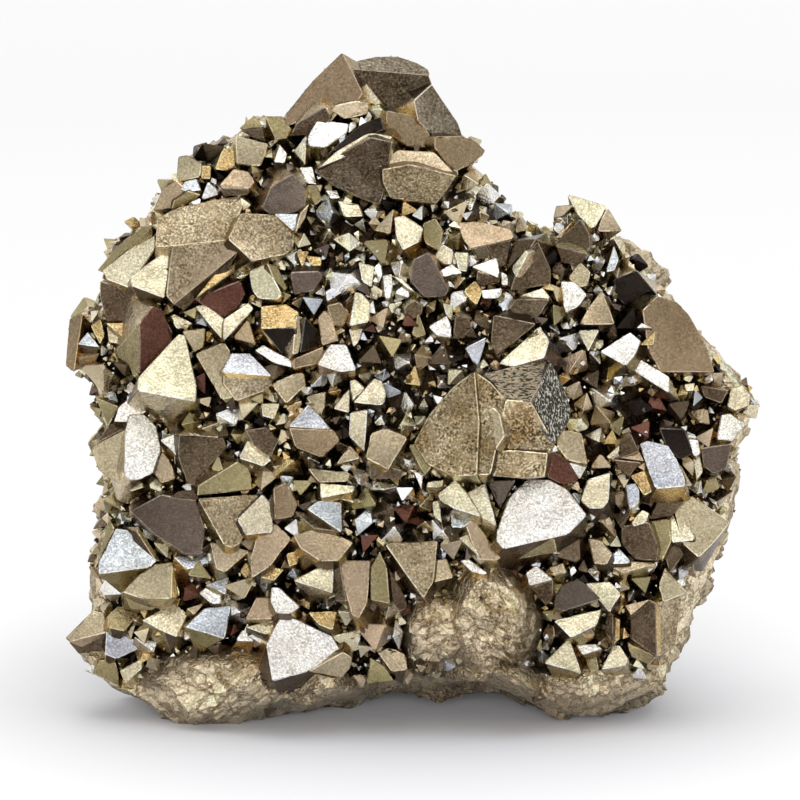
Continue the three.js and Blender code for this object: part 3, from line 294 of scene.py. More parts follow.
    ["T", -0.55, -0.05, 3.0, [-51.2,44.3, -50.9,45.3, -45.8,47.9, -45.8,40.9, -45,39.7, -42.9,38.6, -45,37.9, -50.2,41.1]],
    ["D", -0.4, 0.7, 1.5, [-48.5,48.5, -47,49.2, -45.4,48.8, -45.9,48, -50.6,45.6]],
    ["W", -0.1, 0.3, 1.5, [-40.2,46.2, -37.2,47.4, -37.6,43.7]],
    ["P", -0.1, 0.1, 1.5, [-40,44.2, -38.5,42.5, -37.8,40, -40,39.2, -41.3,41]],
    ["D", 0.05, -0.20, 2.0, [-37.1,47, -30.2,46.6, -29.6,45, -34.6,39, -35.8,39.2, -37.3,43.5]],
    ["O", 0.15, -0.35, 1.5, [-34,38.8, -27.7,42.7, -26,41.5, -25.4,38.2, -34.2,37.2]],
    ["S", -0.10, -0.05, 3.5, [-45,34.7, -40,37.4, -34.4,36.4, -33.1,32, -33.6,28, -36.3,28, -41,31]],
    ["D", 0.0, 0.3, 2.5, [-38.8,36.9, -37,38, -34,38.2, -34.3,36.4]],
    ["M", 0.15, 0.20, 2.5, [-34.1,36.8, -24.5,37.4, -28.2,33.8, -27.3,29.8, -28.6,29, -29.9,29.4]],
    ["C", 0.1, 0.2, 2.0, [-27.8,33.5, -23.8,37.5, -22,35.5, -22.3,31.5, -26.5,31]],
    ["B", -0.05, 0.45, 2.5, [-47.5,32, -45.6,31.8, -43,29.3, -40.8,27, -42,25.8, -50.2,24.7, -50.2,26.5]],
    ["O", -0.7, 0.1, 1.0, [-50.9,25.5, -48.5,33.6, -47.7,31.8, -50,27.5]],
    ["O", 0.5, 0.3, 1.5, [-43.7,32.3, -40.2,26.8, -41,26.8, -44,31.5]],
    ["T", -0.05, 0.20, 3.0, [-41,26.2, -38.4,26.6, -37.9,24.2, -38.7,20.8, -43.2,20.8, -46.1,21.8, -44,24.2]],
    ["O", -0.1, -0.8, 2.5, [-46,21.4, -38.7,20.7, -41.6,18.8, -45,19]],
    ["G", 0.9, 0.1, 2.5, [-38.3,26.2, -37,21, -38.5,20.8]],
    ["B", 0.0, 0.5, 1.5, [-38.1,27.5, -32.2,27.9, -32,26.6, -34,26, -36,25.5]],
    ["O", 0.0, 0.0, 2.0, [-34.1,27, -32,24, -35.8,24.5]],
    ["T", 0.1, 0.2, 2.0, [-32.2,29.8, -27.7,29, -25.9,28.4, -29.8,25.1, -31.2,25.6]],
    ["T", -0.3, 0.45, 1.0, [-55.7,14.3, -51.3,18.7, -49.5,18.3, -48.8,15.3, -55,13.7]],
    ["D", -0.2, -0.6, 1.0, [-55.2,13.5, -49,15.2, -49.6,12.3, -53.6,11.6]],
    ["O", 0.0, 0.5, 1.0, [-48.8,18, -47,19.5, -43.8,18.6, -46,15.5, -48.6,16]],
    ["B", 0.0, 0.1, 1.5, [-49,15.8, -42.4,13.3, -47.4,11, -49.2,11.7]],
    ["W", 0.3, 0.3, 1.0, [-44.5,14.5, -40.9,13.7, -41.3,12]],
    ["C", 0.0, 0.45, 1.5, [-43.2,17.3, -38,20, -35.8,18.3, -37.6,14.6, -39.8,15.5]],
    ["B", 0.1, 0.35, 2.5, [-36.2,16.3, -33,19.3, -29,19.7, -29.9,14.4]],
    ["C", 0.1, 0.2, 1.0, [-46.9,9.1, -43,11.3, -43.2,9.6, -46,7]],
    ["O", -0.2, 0.0, 0.5, [-50.4,10.7, -47.8,10.6, -47.2,8.5, -47.2,6.5, -51.3,8.5]],
    ["W", -0.2, 0.3, 0.5, [-52.8,9, -50.6,10.7, -51.3,8.5]],
    ["W", 0.0, 0.3, 1.5, [-34,21.7, -32.5,22.8, -30.5,21.5, -30.5,20, -32,20]],
    ["B", 0.1, 0.4, 1.0, [-33,23, -29.3,24.3, -29.7,21.5]],
    ["P", 0.0, 0.3, 1.0, [-36,19.2, -33,20.2, -34.8,18.2]],
    ["W", 0.0, 0.30, 2.5, [-22.4,22.6, -21.3,22.7, -17.9,19.6, -19.4,18.5, -21.6,18.6, -22.5,20.5]],
    ["W", 0.05, 0.25, 3.6, [-21,17.8, -20,18.2, -12.8,14.9, -11.2,12.3, -16.5,9.3, -22.2,7.7, -23.2,13.4]],
    ["T", 0.3, -0.6, 3.5, [-16.5,9.2, -11,12.3, -9.6,11.4, -9.8,9.9, -11.2,8.2]],
    ["P", -0.1, 0.2, 1.5, [-24.8,21, -22.6,21, -22.3,17.6, -26.6,17.5]],
    ["C", 0.0, 0.4, 1.5, [-26.5,16.3, -21.6,17.4, -21.8,15.3, -23.8,15.2]],
    ["W", 0.0, 0.4, 1.0, [-28,14.5, -27,15.8, -25.3,14, -28,14]],
    ["C", -0.1, 0.35, 2.5, [-18.9,23.8, -14.3,26.2, -12.6,25.7, -12.7,21.8]],
    ["D", 0.0, -0.5, 2.0, [-18.7,23.6, -12.9,21.3, -16.5,21.3]],
    ["P", 0.0, 0.30, 3.0, [-18.8,30.9, -16,31.9, -12,31, -9.4,29.9, -11.7,27, -14.5,26.9, -17.8,29]],
    ["D", 0.1, 0.8, 2.0, [-19,35, -17,34.6, -11.8,31.6, -15.6,32.1]],
    ["B", 0.1, 0.30, 2.5, [-16.7,35.2, -14.9,36.6, -11.3,36.2, -11.2,31.5]],
    ["C", 0.0, 0.5, 2.0, [-14.6,39.4, -12.8,38.6, -9.2,38.9, -9.3,38, -14.5,37]],
    ["T", 0.0, 0.2, 1.5, [-16.5,41.6, -10,41, -10.3,39.6, -14.8,39.4]],
    ["C", -0.2, 0.2, 2.5, [-9.8,50.5, -7.2,51, -7.6,44.4, -10,46.8]],
    ["T", 0.0, 0.2, 3.0, [-6.5,47.2, -4,48, -0.8,46.5, -2,45, -3.8,41.5, -7.3,43.3]],
    ["D", 0.0, -0.5, 2.0, [-7,42.8, -1.5,41.2, -1.7,40, -6.5,40]],
    ["C", -0.1, 0.3, 2.0, [-27.5,43.3, -25.8,46.8, -24.6,44.5, -22.4,43, -23.7,42]],
    ["D", 0.1, 0.3, 2.0, [-26.5,47.8, -23,48.2, -21.3,46, -22.5,43.4, -25,45]],
    ["B", 0.0, 0.35, 2.0, [-19.6,48.3, -16.4,51.9, -14,49.3, -13,47.9]],
    ["N", 0.0, -0.1, 2.0, [-19.5,48, -12.5,47.7, -11.5,46, -12.8,44.8, -14.4,43.4, -18.5,45]],
    ["T", 0.1, 0.2, 2.0, [-12,42.3, -9.8,45.4, -8.3,43.3, -11,42.8]],
    ["P", 0.0, 0.2, 2.5, [-24.8,30.4, -22.2,33.3, -19.3,30.4, -22.7,26, -25.5,24.2, -25.8,27]],
    ["G", 0.1, 0.3, 1.5, [-20,28, -18,28.5, -18.3,26.5, -19.5,26]],
    ["G", 0.0, 0.4, 1.5, [-24.3,24.3, -22.5,26, -20.5,25.5, -22,23.8]],
    ["P", -0.15, 0.20, 3.5, [-11.4,26.9, -6.6,26.9, -7.7,23.7, -7.2,20.2, -8.5,17.9, -9.5,18.3, -10.7,22.4]],
    ["D", -0.6, 0.0, 2.5, [-12.5,25.8, -11.5,26.5, -10.5,20.5, -12.3,20.5]],
    ["O", -0.2, 0.1, 3.0, [-6.5,26, -5.2,28.4, -4.1,26, -3.6,20.2, -6.6,20.7]],
    ["D", 0.3, 0.1, 2.5, [-3.8,26, -1,21, -0.8,19.5, -2,18.8, -3.3,20.5]],
    ["G", 0.0, 0.3, 2.0, [-16.5,18.7, -12,18.8, -12.7,15.9, -15,16.8]],
    ["N", 0.1, 0.1, 2.0, [-22,38.5, -20,39.3, -18.2,36, -19,34, -21.8,33.5]],
    ["T", 0.0, 0.3, 1.0, [-5.5,12.3, -3.5,13, -1.2,12, -0.8,9.5, -3.2,9.2]],
    ["O", 0.0, 0.1, 1.0, [-6.7,11.5, -4,9.8, -3,7.6, -7.2,7.2]],
]


def place(p):
    """Across, up and out (millimetres, n x 3) to the part's frame in metres."""
    p = np.asarray(p, float)
    return (p[..., :1] * ACROSS + p[..., 1:2] * UP + p[..., 2:3] * OUT + SHIFT) * MM


def front_height(x, y):
    a = (x - BULGE_MIDDLE[0]) / BULGE_REACH[0]
    b = (y - BULGE_MIDDLE[1]) / BULGE_REACH[1]
    return FRONT_BULGE * (1 - a * a - b * b)


def fbm(p, octaves=4, scale=1.0):
    return noise.fractal(Vector(p) * scale, 0.8, 2.1, octaves)


def inside(x, y, polygon):
    hit = False
    for (x0, y0), (x1, y1) in zip(polygon, polygon[1:] + polygon[:1]):
        if (y0 > y) != (y1 > y) and x < (x1 - x0) * (y - y0) / (y1 - y0) + x0:
            hit = not hit
    return hit


def outline_share(x, y):
    """How far from the middle to the outline a point lies, 1 on the outline."""
    dx, dy = x - MIDDLE[0], y - MIDDLE[1]
    for (x0, y0), (x1, y1) in zip(OUTLINE, OUTLINE[1:] + OUTLINE[:1]):
        ax, ay, bx, by = x0 - MIDDLE[0], y0 - MIDDLE[1], x1 - MIDDLE[0], y1 - MIDDLE[1]
        det = ax * by - ay * bx
        s, t = (dx * by - dy * bx) / det, (ax * dy - ay * dx) / det
        if s >= 0 and t >= 0:
            return s + t
    return 1.0


# ---- tones of the faces, linear, partly tarnish colour and partly painted reflection and shade, and how pitted and how striated (two ways) each is ---
TONES = {
    "W": (0.97, 0.96, 0.90), "C": (0.75, 0.69, 0.50), "T": (0.52, 0.44, 0.30), "P": (0.47, 0.37, 0.25),
    "O": (0.33, 0.28, 0.15), "G": (0.67, 0.49, 0.24), "B": (0.55, 0.585, 0.64), "S": (0.13, 0.102, 0.083),
    "D": (0.13, 0.097, 0.065), "K": (0.022, 0.017, 0.014), "R": (0.115, 0.053, 0.038), "M": (0.45, 0.38, 0.26),
    "A": (0.29, 0.26, 0.20), "E": (0.115, 0.09, 0.063), "N": (0.295, 0.222, 0.14),
    "H": (0.27, 0.23, 0.165), "V": (0.055, 0.05, 0.04), "X": (0.50, 0.425, 0.285), "Y": (0.28, 0.23, 0.145),
    # gap is painted shade: the near-black put on the body where it shows between the crystals.
    "rock": (0.88, 0.76, 0.555), "gap": (0.05, 0.035, 0.022),
}
GRAIN = {"W": (0.40, 0, 0, 0.35), "C": (0.36, 0, 0, 0.25), "T": (0.36, 0, 0, 0.15), "P": (0.30, 0, 0, 0.1),
         "O": (0.3, 0, 0, 0.1), "G": (0.6, 0, 0, 0.2), "B": (0.35, 0, 0, 0.3), "S": (0.3, 0, 0, 0.1),
         "D": (0.6, 0, 0, 0.1), "K": (0.3, 0, 0, 0), "R": (0.35, 0, 0, 0.2), "M": (0.65, 0, 0, 0.45),
         "H": (0.3, 0, 1, 0), "V": (0.2, 1, 0, 0), "X": (1.0, 0, 0, 0.3), "Y": (0.6, 0, 0, 0.6),
         "N": (0.35, 0, 0, 0.1), "A": (0.7, 0, 0, 0.3), "E": (0.8, 0, 0, 0.4)}
SIDE_TONES = ["D", "D", "O", "O", "T", "T", "P", "G", "C", "S"]
SMALL_TONES = (["W"] * 9 + ["C"] * 8 + ["T"] * 9 + ["P"] * 4 + ["O"] * 6 + ["G"] * 4 + ["B"] * 2
               + ["D"] * 5 + ["N"] * 2 + ["S"] * 2 + ["K"] * 2 + ["R"] * 2)


def tint_of(tone, spread=0.12):
    base = np.array(TONES[tone])
    return np.clip(base * (1 + rng.uniform(-spread, spread)) * (1 + rng.uniform(-0.02, 0.02, 3)), 0, 0.97)


def weather(mesh, finest):
    """Cuts the faces of a mesh finer and gives them the slight waves and chips of grown faces."""
    bm = bmesh.new()
    bm.from_mesh(mesh)
    bmesh.ops.triangulate(bm, faces=bm.faces)
    for _ in range(7):
        long = [e for e in bm.edges if e.calc_length() > finest]
        if not long:
            break
        bmesh.ops.subdivide_edges(bm, edges=long, cuts=1)
        bmesh.ops.triangulate(bm, faces=[f for f in bm.faces if len(f.verts) > 3])
    bm.normal_update()
    moves = []
    for v in bm.verts:
        p = v.co / MM
        wave = 0.07 * noise.noise(p * 0.28) + 0.035 * noise.noise(p * 0.8)
        chip = max(0.0, noise.noise(p * 0.45 + Vector((40, 0, 0))) - 0.25)
        sharp = max((e.calc_face_angle(0.0) for e in v.link_edges), default=0.0)
        moves.append(v.normal * ((wave - (0.5 * chip if sharp > 0.35 else 0.0)) * MM))
    for v, move in zip(bm.verts, moves):
        v.co += move
    bm.to_mesh(mesh)
    bm.free()
    for polygon in mesh.polygons:
        polygon.use_smooth = True
    mesh.set_sharp_from_angle(angle=math.radians(24))


class Soup:
    """Gathers polygons with a tint and a grain for each, and makes one mesh of them."""

    def __init__(self):
        self.verts, self.faces, self.tints, self.grains = [], [], [], []

    def add(self, verts, faces, tints, grains):
        start = len(self.verts)
        self.verts.extend(verts)
        self.faces.extend([[i + start for i in f] for f in faces])
        self.tints.extend(tints)
        self.grains.extend(grains)

    def reflection_sweeps(self, counts, amount):
        """For every corner, how much lighter or darker it is than its face: a painted reflection, a slow change across
        the face in a random direction.
        """
        where = np.array(self.verts)[[i for f in self.faces for i in f]]
        first = np.concatenate([[0], np.cumsum(counts)[:-1]])
        middle = np.add.reduceat(where, first) / counts[:, None]
        away = where - np.repeat(middle, counts, axis=0)
        reach = np.maximum.reduceat(np.linalg.norm(away, axis=1), first)
        lean = rng.normal(size=(len(counts), 3))
        lean *= (amount * rng.random(len(counts)) / np.linalg.norm(lean, axis=1) / np.maximum(reach, 1e-9))[:, None]
        return 1 + (away * np.repeat(lean, counts, axis=0)).sum(1)

    def build(self, name, material, finest=0.0, reflection_sweep=0.0):
        mesh = bpy.data.meshes.new(name)
        mesh.from_pydata([tuple(v) for v in self.verts], [], self.faces)
        mesh.validate()
        counts = np.array([len(p.vertices) for p in mesh.polygons])
        for label, values in (("tint", self.tints), ("grain", self.grains)):
            layer = mesh.attributes.new(label, "FLOAT_COLOR", "CORNER")
            rgba = np.ones((len(values), 4), np.float32)
            rgba[:, :len(values[0])] = np.array(values, np.float32)
            rgba = np.repeat(rgba, counts, axis=0)
            # Painted reflection: each face's tint lightens one way across it and darkens the other.
            if label == "tint" and reflection_sweep:
                rgba[:, :3] = np.clip(rgba[:, :3] * self.reflection_sweeps(counts, reflection_sweep)[:, None], 0, 0.97)
            layer.data.foreach_set("color", rgba.ravel())
        if finest:
            weather(mesh, finest)
        mesh.materials.append(material)
        obj = bpy.data.objects.new(name, mesh)
        bpy.context.scene.collection.objects.link(obj)
        return obj


def hull(points, bevel, segments=1):
    """Convex solid through the points with its edges rounded: (vertices, faces, normals)."""
    bm = bmesh.new()
    for p in points:
        bm.verts.new(Vector(p))
    bmesh.ops.remove_doubles(bm, verts=bm.verts, dist=1e-4)
    made = bmesh.ops.convex_hull(bm, input=bm.verts)
    loose = [v for v in bm.verts if not v.link_faces]
    bmesh.ops.delete(bm, geom=loose, context="VERTS")
    bmesh.ops.dissolve_limit(bm, angle_limit=math.radians(1.5), verts=bm.verts, edges=bm.edges)
    if bevel > 0:
        bmesh.ops.bevel(bm, geom=list(bm.edges), offset=bevel, segments=segments, profile=0.6,
                        affect="EDGES", clamp_overlap=True)
    bmesh.ops.recalc_face_normals(bm, faces=bm.faces)
    bm.verts.index_update()
    bm.normal_update()
    verts = [np.array(v.co) for v in bm.verts]
    faces = [[v.index for v in f.verts] for f in bm.faces]
    normals = [np.array(f.normal) for f in bm.faces]
    areas = [f.calc_area() for f in bm.faces]
    bm.free()
    return verts, faces, normals, areas


# ---- material ------------------------------------------------------------------------------------
def pyrite_material(name, rock):
    mat = bpy.data.materials.new(name)
    mat.use_nodes = True
    nt = mat.node_tree
    nt.nodes.clear()
    new = nt.nodes.new
    link = nt.links.new
    out, bsdf = new("ShaderNodeOutputMaterial"), new("ShaderNodeBsdfPrincipled")
    link(bsdf.outputs[0], out.inputs[0])
    bsdf.inputs["Metallic"].default_value = 1.0
    coord = new("ShaderNodeTexCoord").outputs["Object"]
    tint, grain = new("ShaderNodeAttribute"), new("ShaderNodeAttribute")
    tint.attribute_name, grain.attribute_name = "tint", "grain"
    strength = new("ShaderNodeSeparateColor")
    link(grain.outputs["Color"], strength.inputs[0])

    def texture(scale, detail, rough=0.6):
        n = new("ShaderNodeTexNoise")
        n.inputs["Scale"].default_value = scale
        n.inputs["Detail"].default_value = detail
        n.inputs["Roughness"].default_value = rough
        link(coord, n.inputs["Vector"])
        return n.outputs["Fac"]

    def ramp(value, low, high):
        r = new("ShaderNodeMapRange")
        r.inputs["From Min"].default_value = low
        r.inputs["From Max"].default_value = high
        link(value, r.inputs["Value"])
        return r.outputs[0]

    def maths(op, a, b):
        m = new("ShaderNodeMath")
        m.operation = op
        for socket, value in zip(m.inputs, (a, b)):
            if isinstance(value, (int, float)):
                socket.default_value = value
            else:
                link(value, socket)
        return m.outputs[0]

    def mix(fac, a, b, kind="MIX"):
        m = new("ShaderNodeMix")
        m.data_type, m.blend_type = "RGBA", kind
        link(fac, m.inputs[0])
        for socket, value in ((m.inputs[6], a), (m.inputs[7], b)):
            if isinstance(value, tuple):
                socket.default_value = value
            else:
                link(value, socket)
        return m.outputs[2]

    def stretched(scale, detail):
        v = new("ShaderNodeVectorMath")
        v.operation = "MULTIPLY"
        v.inputs[1].default_value = scale
        link(coord, v.inputs[0])
        n = new("ShaderNodeTexNoise")
        n.inputs["Scale"].default_value = 1.0
        n.inputs["Detail"].default_value = detail
        n.inputs["Distortion"].default_value = 0.6
        link(v.outputs[0], n.inputs["Vector"])
        return n.outputs["Fac"]

    speck, fleck, patch = texture(2700, 1.5, 0.5), texture(1500, 3, 0.65), texture(420, 3, 0.6)
    uneven = ramp(patch, 0.36, 0.60)
    pits = maths("MULTIPLY", ramp(speck, 0.51, 0.43), maths("ADD", maths("MULTIPLY", uneven, 0.88), 0.12))
    pits = maths("MULTIPLY", pits, strength.outputs[0])
    hollow = maths("MULTIPLY", ramp(fleck, 0.44, 0.36), maths("MULTIPLY", strength.outputs[0], 0.6))
    upright, level = ramp(stretched((5200, 5200, 1500), 1), 0.54, 0.60), ramp(stretched((1300, 1300, 5200), 1), 0.50, 0.57)
    rings = maths("FRACT", maths("MULTIPLY", texture(300, 2, 0.5), 11.0), 0.0)
    rings = maths("MULTIPLY", ramp(rings, 0.34, 0.16), grain.outputs["Alpha"])
    cloud = ramp(texture(170, 3, 0.55), 0.28, 0.72)
    cloudy = 0.25 if rock else maths("MULTIPLY", strength.outputs[0], 1.1)
    colour = mix(maths("MULTIPLY", cloud, cloudy), tint.outputs["Color"], (0.45, 0.36, 0.25, 1), "MULTIPLY")
    colour = mix(pits, colour, (0.20, 0.18, 0.12, 1), "MULTIPLY")
    colour = mix(hollow, colour, (0.42, 0.36, 0.26, 1), "MULTIPLY")
    colour = mix(maths("MULTIPLY", rings, 0.85), colour, (0.36, 0.31, 0.22, 1), "MULTIPLY")
    colour = mix(maths("MULTIPLY", upright, strength.outputs[1]), colour, (0.52, 0.50, 0.42, 1))
    colour = mix(maths("MULTIPLY", level, strength.outputs[2]), colour, (0.035, 0.03, 0.022, 1))
    glint = maths("MULTIPLY", ramp(speck, 0.57, 0.65), maths("MULTIPLY", strength.outputs[0], 0.7))
    colour = mix(glint, colour, colour, "ADD")
    if rock:
        crack = maths("ABSOLUTE", maths("SUBTRACT", texture(330, 4, 0.6), 0.5), 0.0)
        crack = ramp(crack, 0.045, 0.0)
        colour = mix(maths("MULTIPLY", crack, 0.7), colour, (0.22, 0.18, 0.12, 1), "MULTIPLY")
        colour = mix(ramp(texture(60, 3, 0.6), 0.42, 0.66), colour, (0.86, 0.82, 0.78, 1), "MULTIPLY")
    link(colour, bsdf.inputs["Base Color"])
    rough = maths("MULTIPLY", ramp(patch, 0.2, 0.8), 0.2)
    rough = maths("ADD", rough, 0.27 if rock else 0.15)
    link(rough, bsdf.inputs["Roughness"])
    height = maths("ADD", maths("MULTIPLY", speck, 0.5), maths("MULTIPLY", fleck, 0.8))
    height = maths("SUBTRACT", height, maths("MULTIPLY", pits, 0.9))
    height = maths("SUBTRACT", height, maths("MULTIPLY", rings, 1.2))
    if rock:
        height = maths("SUBTRACT", height, maths("MULTIPLY", crack, 1.5))
    bump = new("ShaderNodeBump")
    bump.inputs["Strength"].default_value = 0.55 if rock else 0.30
    bump.inputs["Distance"].default_value = 0.0002
    link(height, bump.inputs["Height"])
    link(bump.outputs[0], bsdf.inputs["Normal"])
    return mat


CRYSTAL = pyrite_material("pyrite crystal", False)
ROCK = pyrite_material("massive pyrite", True)


# ---- the broad crystals of the front ---------------------------------------------------------------
def broad_crystal(soup, tone, looks_right, looks_up, proud, numbers):
    corners = list(zip(numbers[::2], numbers[1::2]))
    count = len(corners)
    cx = sum(c[0] for c in corners) / count
    cy = sum(c[1] for c in corners) / count
    area = abs(sum(a[0] * b[1] - b[0] * a[1] for a, b in zip(corners, corners[1:] + corners[:1]))) / 2
    edge = math.sqrt(area / 0.433)
    depth = max(0.62 * edge, proud + 3.4)
    proud, looks_right, looks_up = min(proud, 3 + (proud - 3) * 0.5), looks_right * 0.85, looks_up * 0.85
    height = front_height(cx, cy) + proud
    face = [np.array([x, y, height - looks_right * (x - cx) - looks_up * (y - cy)]) for x, y in corners]
    middle = np.array([cx, cy, height])
    normal = np.array([looks_right, looks_up, 1.0])
    normal /= np.linalg.norm(normal)
    points = list(face)
    for a, b in zip(face, face[1:] + face[:1]):
        half = (a + b) / 2
        outward = (half - middle) / np.linalg.norm(half - middle)
        spread = 0.354 if outline_share(*(half + outward * 0.3 * depth)[:2]) < 0.985 else -0.12
        points.append(half + outward * spread * depth - normal * depth)
    verts, faces, normals, areas = hull(points, min(0.13, 0.035 * edge))
    tint = tint_of(tone, 0.06)
    side = [tint_of(SIDE_TONES[rng.integers(len(SIDE_TONES))]) for _ in range(6)]
    tints, grains = [], []
    for n, a in zip(normals, areas):
        facing = float(np.dot(n, normal))
        if facing > 0.985:
            tints.append(tint)
            grains.append(GRAIN[tone])
        # Painted highlight: the narrow bevels round the broad face get a lighter tint along the edges.
        elif facing > 0.75 and a < edge * 0.4:
            tints.append(np.clip(tint * 1.5 + 0.10, 0, 0.97))
            grains.append((0.4, 0, 0, 0))
        else:
            sector = int((math.atan2(n[1], n[0]) / (2 * math.pi) + 0.5) * 6) % 6
            tints.append(side[sector])
            grains.append((0.35, 0, 0, 0.15))
    soup.add(list(place(np.array(verts))), faces, tints, grains)
    return corners, (cx, cy, height, looks_right, looks_up)


# ---- small crystals: instances of a few misshapen octahedra -----------------------------------------
def templates(count, bevel):
    made = []
    for _ in range(count):
        size = rng.uniform(0.75, 1.25, 6)
        cut = rng.uniform(0.03, 0.16)
        points = []
        axes = [np.array(a, float) * s for a, s in zip(
            [(1, 0, 0), (-1, 0, 0), (0, 1, 0), (0, -1, 0), (0, 0, 1), (0, 0, -1)], size)]
        shear = np.eye(3) + rng.uniform(-0.28, 0.28, (3, 3))
        axes = [shear @ a for a in axes]
        for i, a in enumerate(axes):
            for j, b in enumerate(axes):
                if i // 2 != j // 2:
                    points.append(a + (b - a) * cut)
        made.append(hull(points, bevel))
    return made


def rotation():
    q = rng.normal(size=4)
    w, x, y, z = q / np.linalg.norm(q)
    return np.array([
        [1 - 2 * (y * y + z * z), 2 * (x * y - z * w), 2 * (x * z + y * w)],
        [2 * (x * y + z * w), 1 - 2 * (x * x + z * z), 2 * (y * z - x * w)],
        [2 * (x * z - y * w), 2 * (y * z + x * w), 1 - 2 * (x * x + y * y)]])


def small_crystal(soup, shapes, centre, radius, tone):
    verts, faces, normals, areas = shapes[rng.integers(len(shapes))]
    turn = rotation()
    moved = np.array(verts) @ turn.T * radius + np.array(centre)
    tint = tint_of(tone, 0.15)
    tints = []
    for n, a in zip(normals, areas):
        facing = turn @ n
        # Painted light and shade: faces that look up are lighter, the others darker, with a random spread.
        shade = 1.05 + 0.40 * facing[1] + 0.35 * rng.uniform(-1, 1)
        tints.append(np.clip(tint * shade, 0, 0.97))
    soup.add(list(place(moved)), faces, tints, [(GRAIN[tone][0] * 0.6, 0, 0, 0)] * len(faces))

great = Soup()
covered, planes = [], []  # corners of each broad face; its middle, height and lean
for row in CRYSTALS:
    corners, plane = broad_crystal(great, *row)
    covered.append(corners)
    planes.append(plane)

ROCKY = [  # bare massive pyrite on the front: across, up, half width, half height, how far it swells
    (-31, 6, 15, 8, 5.5), (-16, 6, 11, 4.5, 6.5), (2, 6, 12, 3, 1.5), (29, 5, 13, 7, 4.5), (46, 22, 4, 9, 1.5),
    (34.5, 80.5, 2.5, 4, 0.5), (38.5, 75.5, 2.5, 4, 0.5), (43, 70, 2.5, 4, 0.5), (51, 58, 3, 6, 1.0),
    (53, 47, 2, 6, 1.0), (-50, 30, 1.5, 12, 1.0), (12.4, 17, 9, 11.5, 6.2), (3.6, 15.5, 6, 8.5, 4.6),
    (13, 7, 10, 5, 6.0),
]


def rockiness(x, y):
    return max(0.0, max(1.3 - 1.3 * math.sqrt(((x - a) / w) ** 2 + ((y - b) / h) ** 2) for a, b, w, h, _ in ROCKY))


def swelling(x, y):
    return max(s * min(1.0, max(0.0, 2.2 - 2.2 * math.sqrt(((x - a) / w) ** 2 + ((y - b) / h) ** 2)))
               for a, b, w, h, s in ROCKY)


def fracture(p, cell, salt):
    """Height of a hackly break: tilted flats, one to a cell, and which cell it is."""
    q = p / cell + Vector((salt, 0, 0)) + noise.noise_vector(p * 0.25) * 0.35
    _, centres = noise.voronoi(q)
    lean = noise.cell_vector(centres[0] * 57.0)
    return (q - centres[0]).dot(lean) + 0.5 * lean.z, lean.x


# small crystals over the front: the biggest that fit the gaps first, then finer ones
fine, coarse = templates(12, 0.0), templates(12, 0.03)
druse = [Soup(), Soup(), Soup()]
starts = np.array([p for c in covered for p in c])
ends = np.array([p for c in covered for p in c[1:] + c[:1]])
along = ends - starts
owner = np.concatenate([[i] * len(c) for i, c in enumerate(covered)])


def gap_at(x, y):
    """Distance to the nearest broad face, negative under one, and the level of that face there."""
    rel = np.array([x, y]) - starts
    t = np.clip((rel * along).sum(1) / np.maximum((along ** 2).sum(1), 1e-9), 0, 1)
    far = ((rel - along * t[:, None]) ** 2).sum(1)
    pick = int(np.argmin(far))
    near = math.sqrt(far[pick])
    cx, cy, height, looks_right, looks_up = planes[owner[pick]]
    level = height - looks_right * (x - cx) - looks_up * (y - cy)
    return (-near if any(inside(x, y, c) for c in covered) else near), level


sites = []
step = 0.85
for x in np.arange(-57, 57, step):
    for y in np.arange(1, 109, step):
        px, py = x + rng.uniform(-0.5, 0.5) * step, y + rng.uniform(-0.5, 0.5) * step
        share = outline_share(px, py)
        if share < 0.99:
            sites.append((*gap_at(px, py), px, py, share))
sites.sort(key=lambda s: -s[0])
taken = np.zeros((0, 3))
for gap, level, x, y, share in sites:
    bare = rockiness(x, y)
    if rng.random() < bare * 2.0 - 0.1 or gap < -0.9 or share > 0.95 and y < 30:
        continue
    radius = min(0.75 + 0.75 * max(gap, 0) + 0.3 * rng.random(), 2.7) * rng.uniform(0.75, 1.25)
    if bare > 0.3:
        radius *= 0.6
    if len(taken):
        clear = np.hypot(taken[:, 0] - x, taken[:, 1] - y) - 0.62 * (taken[:, 2] + radius)
        if clear.min() < 0:
            if rng.random() > 0.10:
                continue
            radius = 0.45 + 0.4 * rng.random()
    taken = np.vstack([taken, (x, y, radius)])
    rim = max(0.0, (share - 0.9) / 0.1)
    base = front_height(x, y) * (1 - 0.8 * rim) - rim * 1.5
    base += np.clip(0.65 * (level - base) - 0.9, -0.6, 2.6) * math.exp(-max(gap, 0) / 2.5)
    lift = rng.uniform(-1.2, 0.7) - radius * 0.3 - (1.2 if gap < 0 else 0.0)
    centre = (x, y, base + lift)
    tone = SMALL_TONES[rng.integers(len(SMALL_TONES))]
    if abs(x + 2) < 17 and 48 < y < 86 and rng.random() < 0.3:
        tone = "WCB"[rng.integers(3)]
    if radius > 1.25:
        small_crystal(druse[0], coarse, centre, radius, tone)
    else:
        small_crystal(druse[1 + (x > 0)], fine, centre, radius, tone)


# bright slivers caught in the dark between them
for _ in range(1500):
    x, y = rng.uniform(-50, 50), rng.uniform(10, 100)
    gap, level = gap_at(x, y)
    if gap < 0.3 or outline_share(x, y) > 0.97 or rockiness(x, y) > 0.2:
        continue
    centre = (x, y, front_height(x, y) + rng.uniform(-1.4, 0.6))
    small_crystal(druse[1 + (x > 0)], fine, centre, rng.uniform(0.25, 0.6), "WWCCCBTG"[rng.integers(8)])


# ---- the body of massive pyrite ------------------------------------------------------------------------
def interpolate(table, t):
    for (a, va), (b, vb) in zip(table, table[1:]):
        if t <= b:
            return va + (vb - va) * (t - a) / (b - a)
    return table[-1][1]


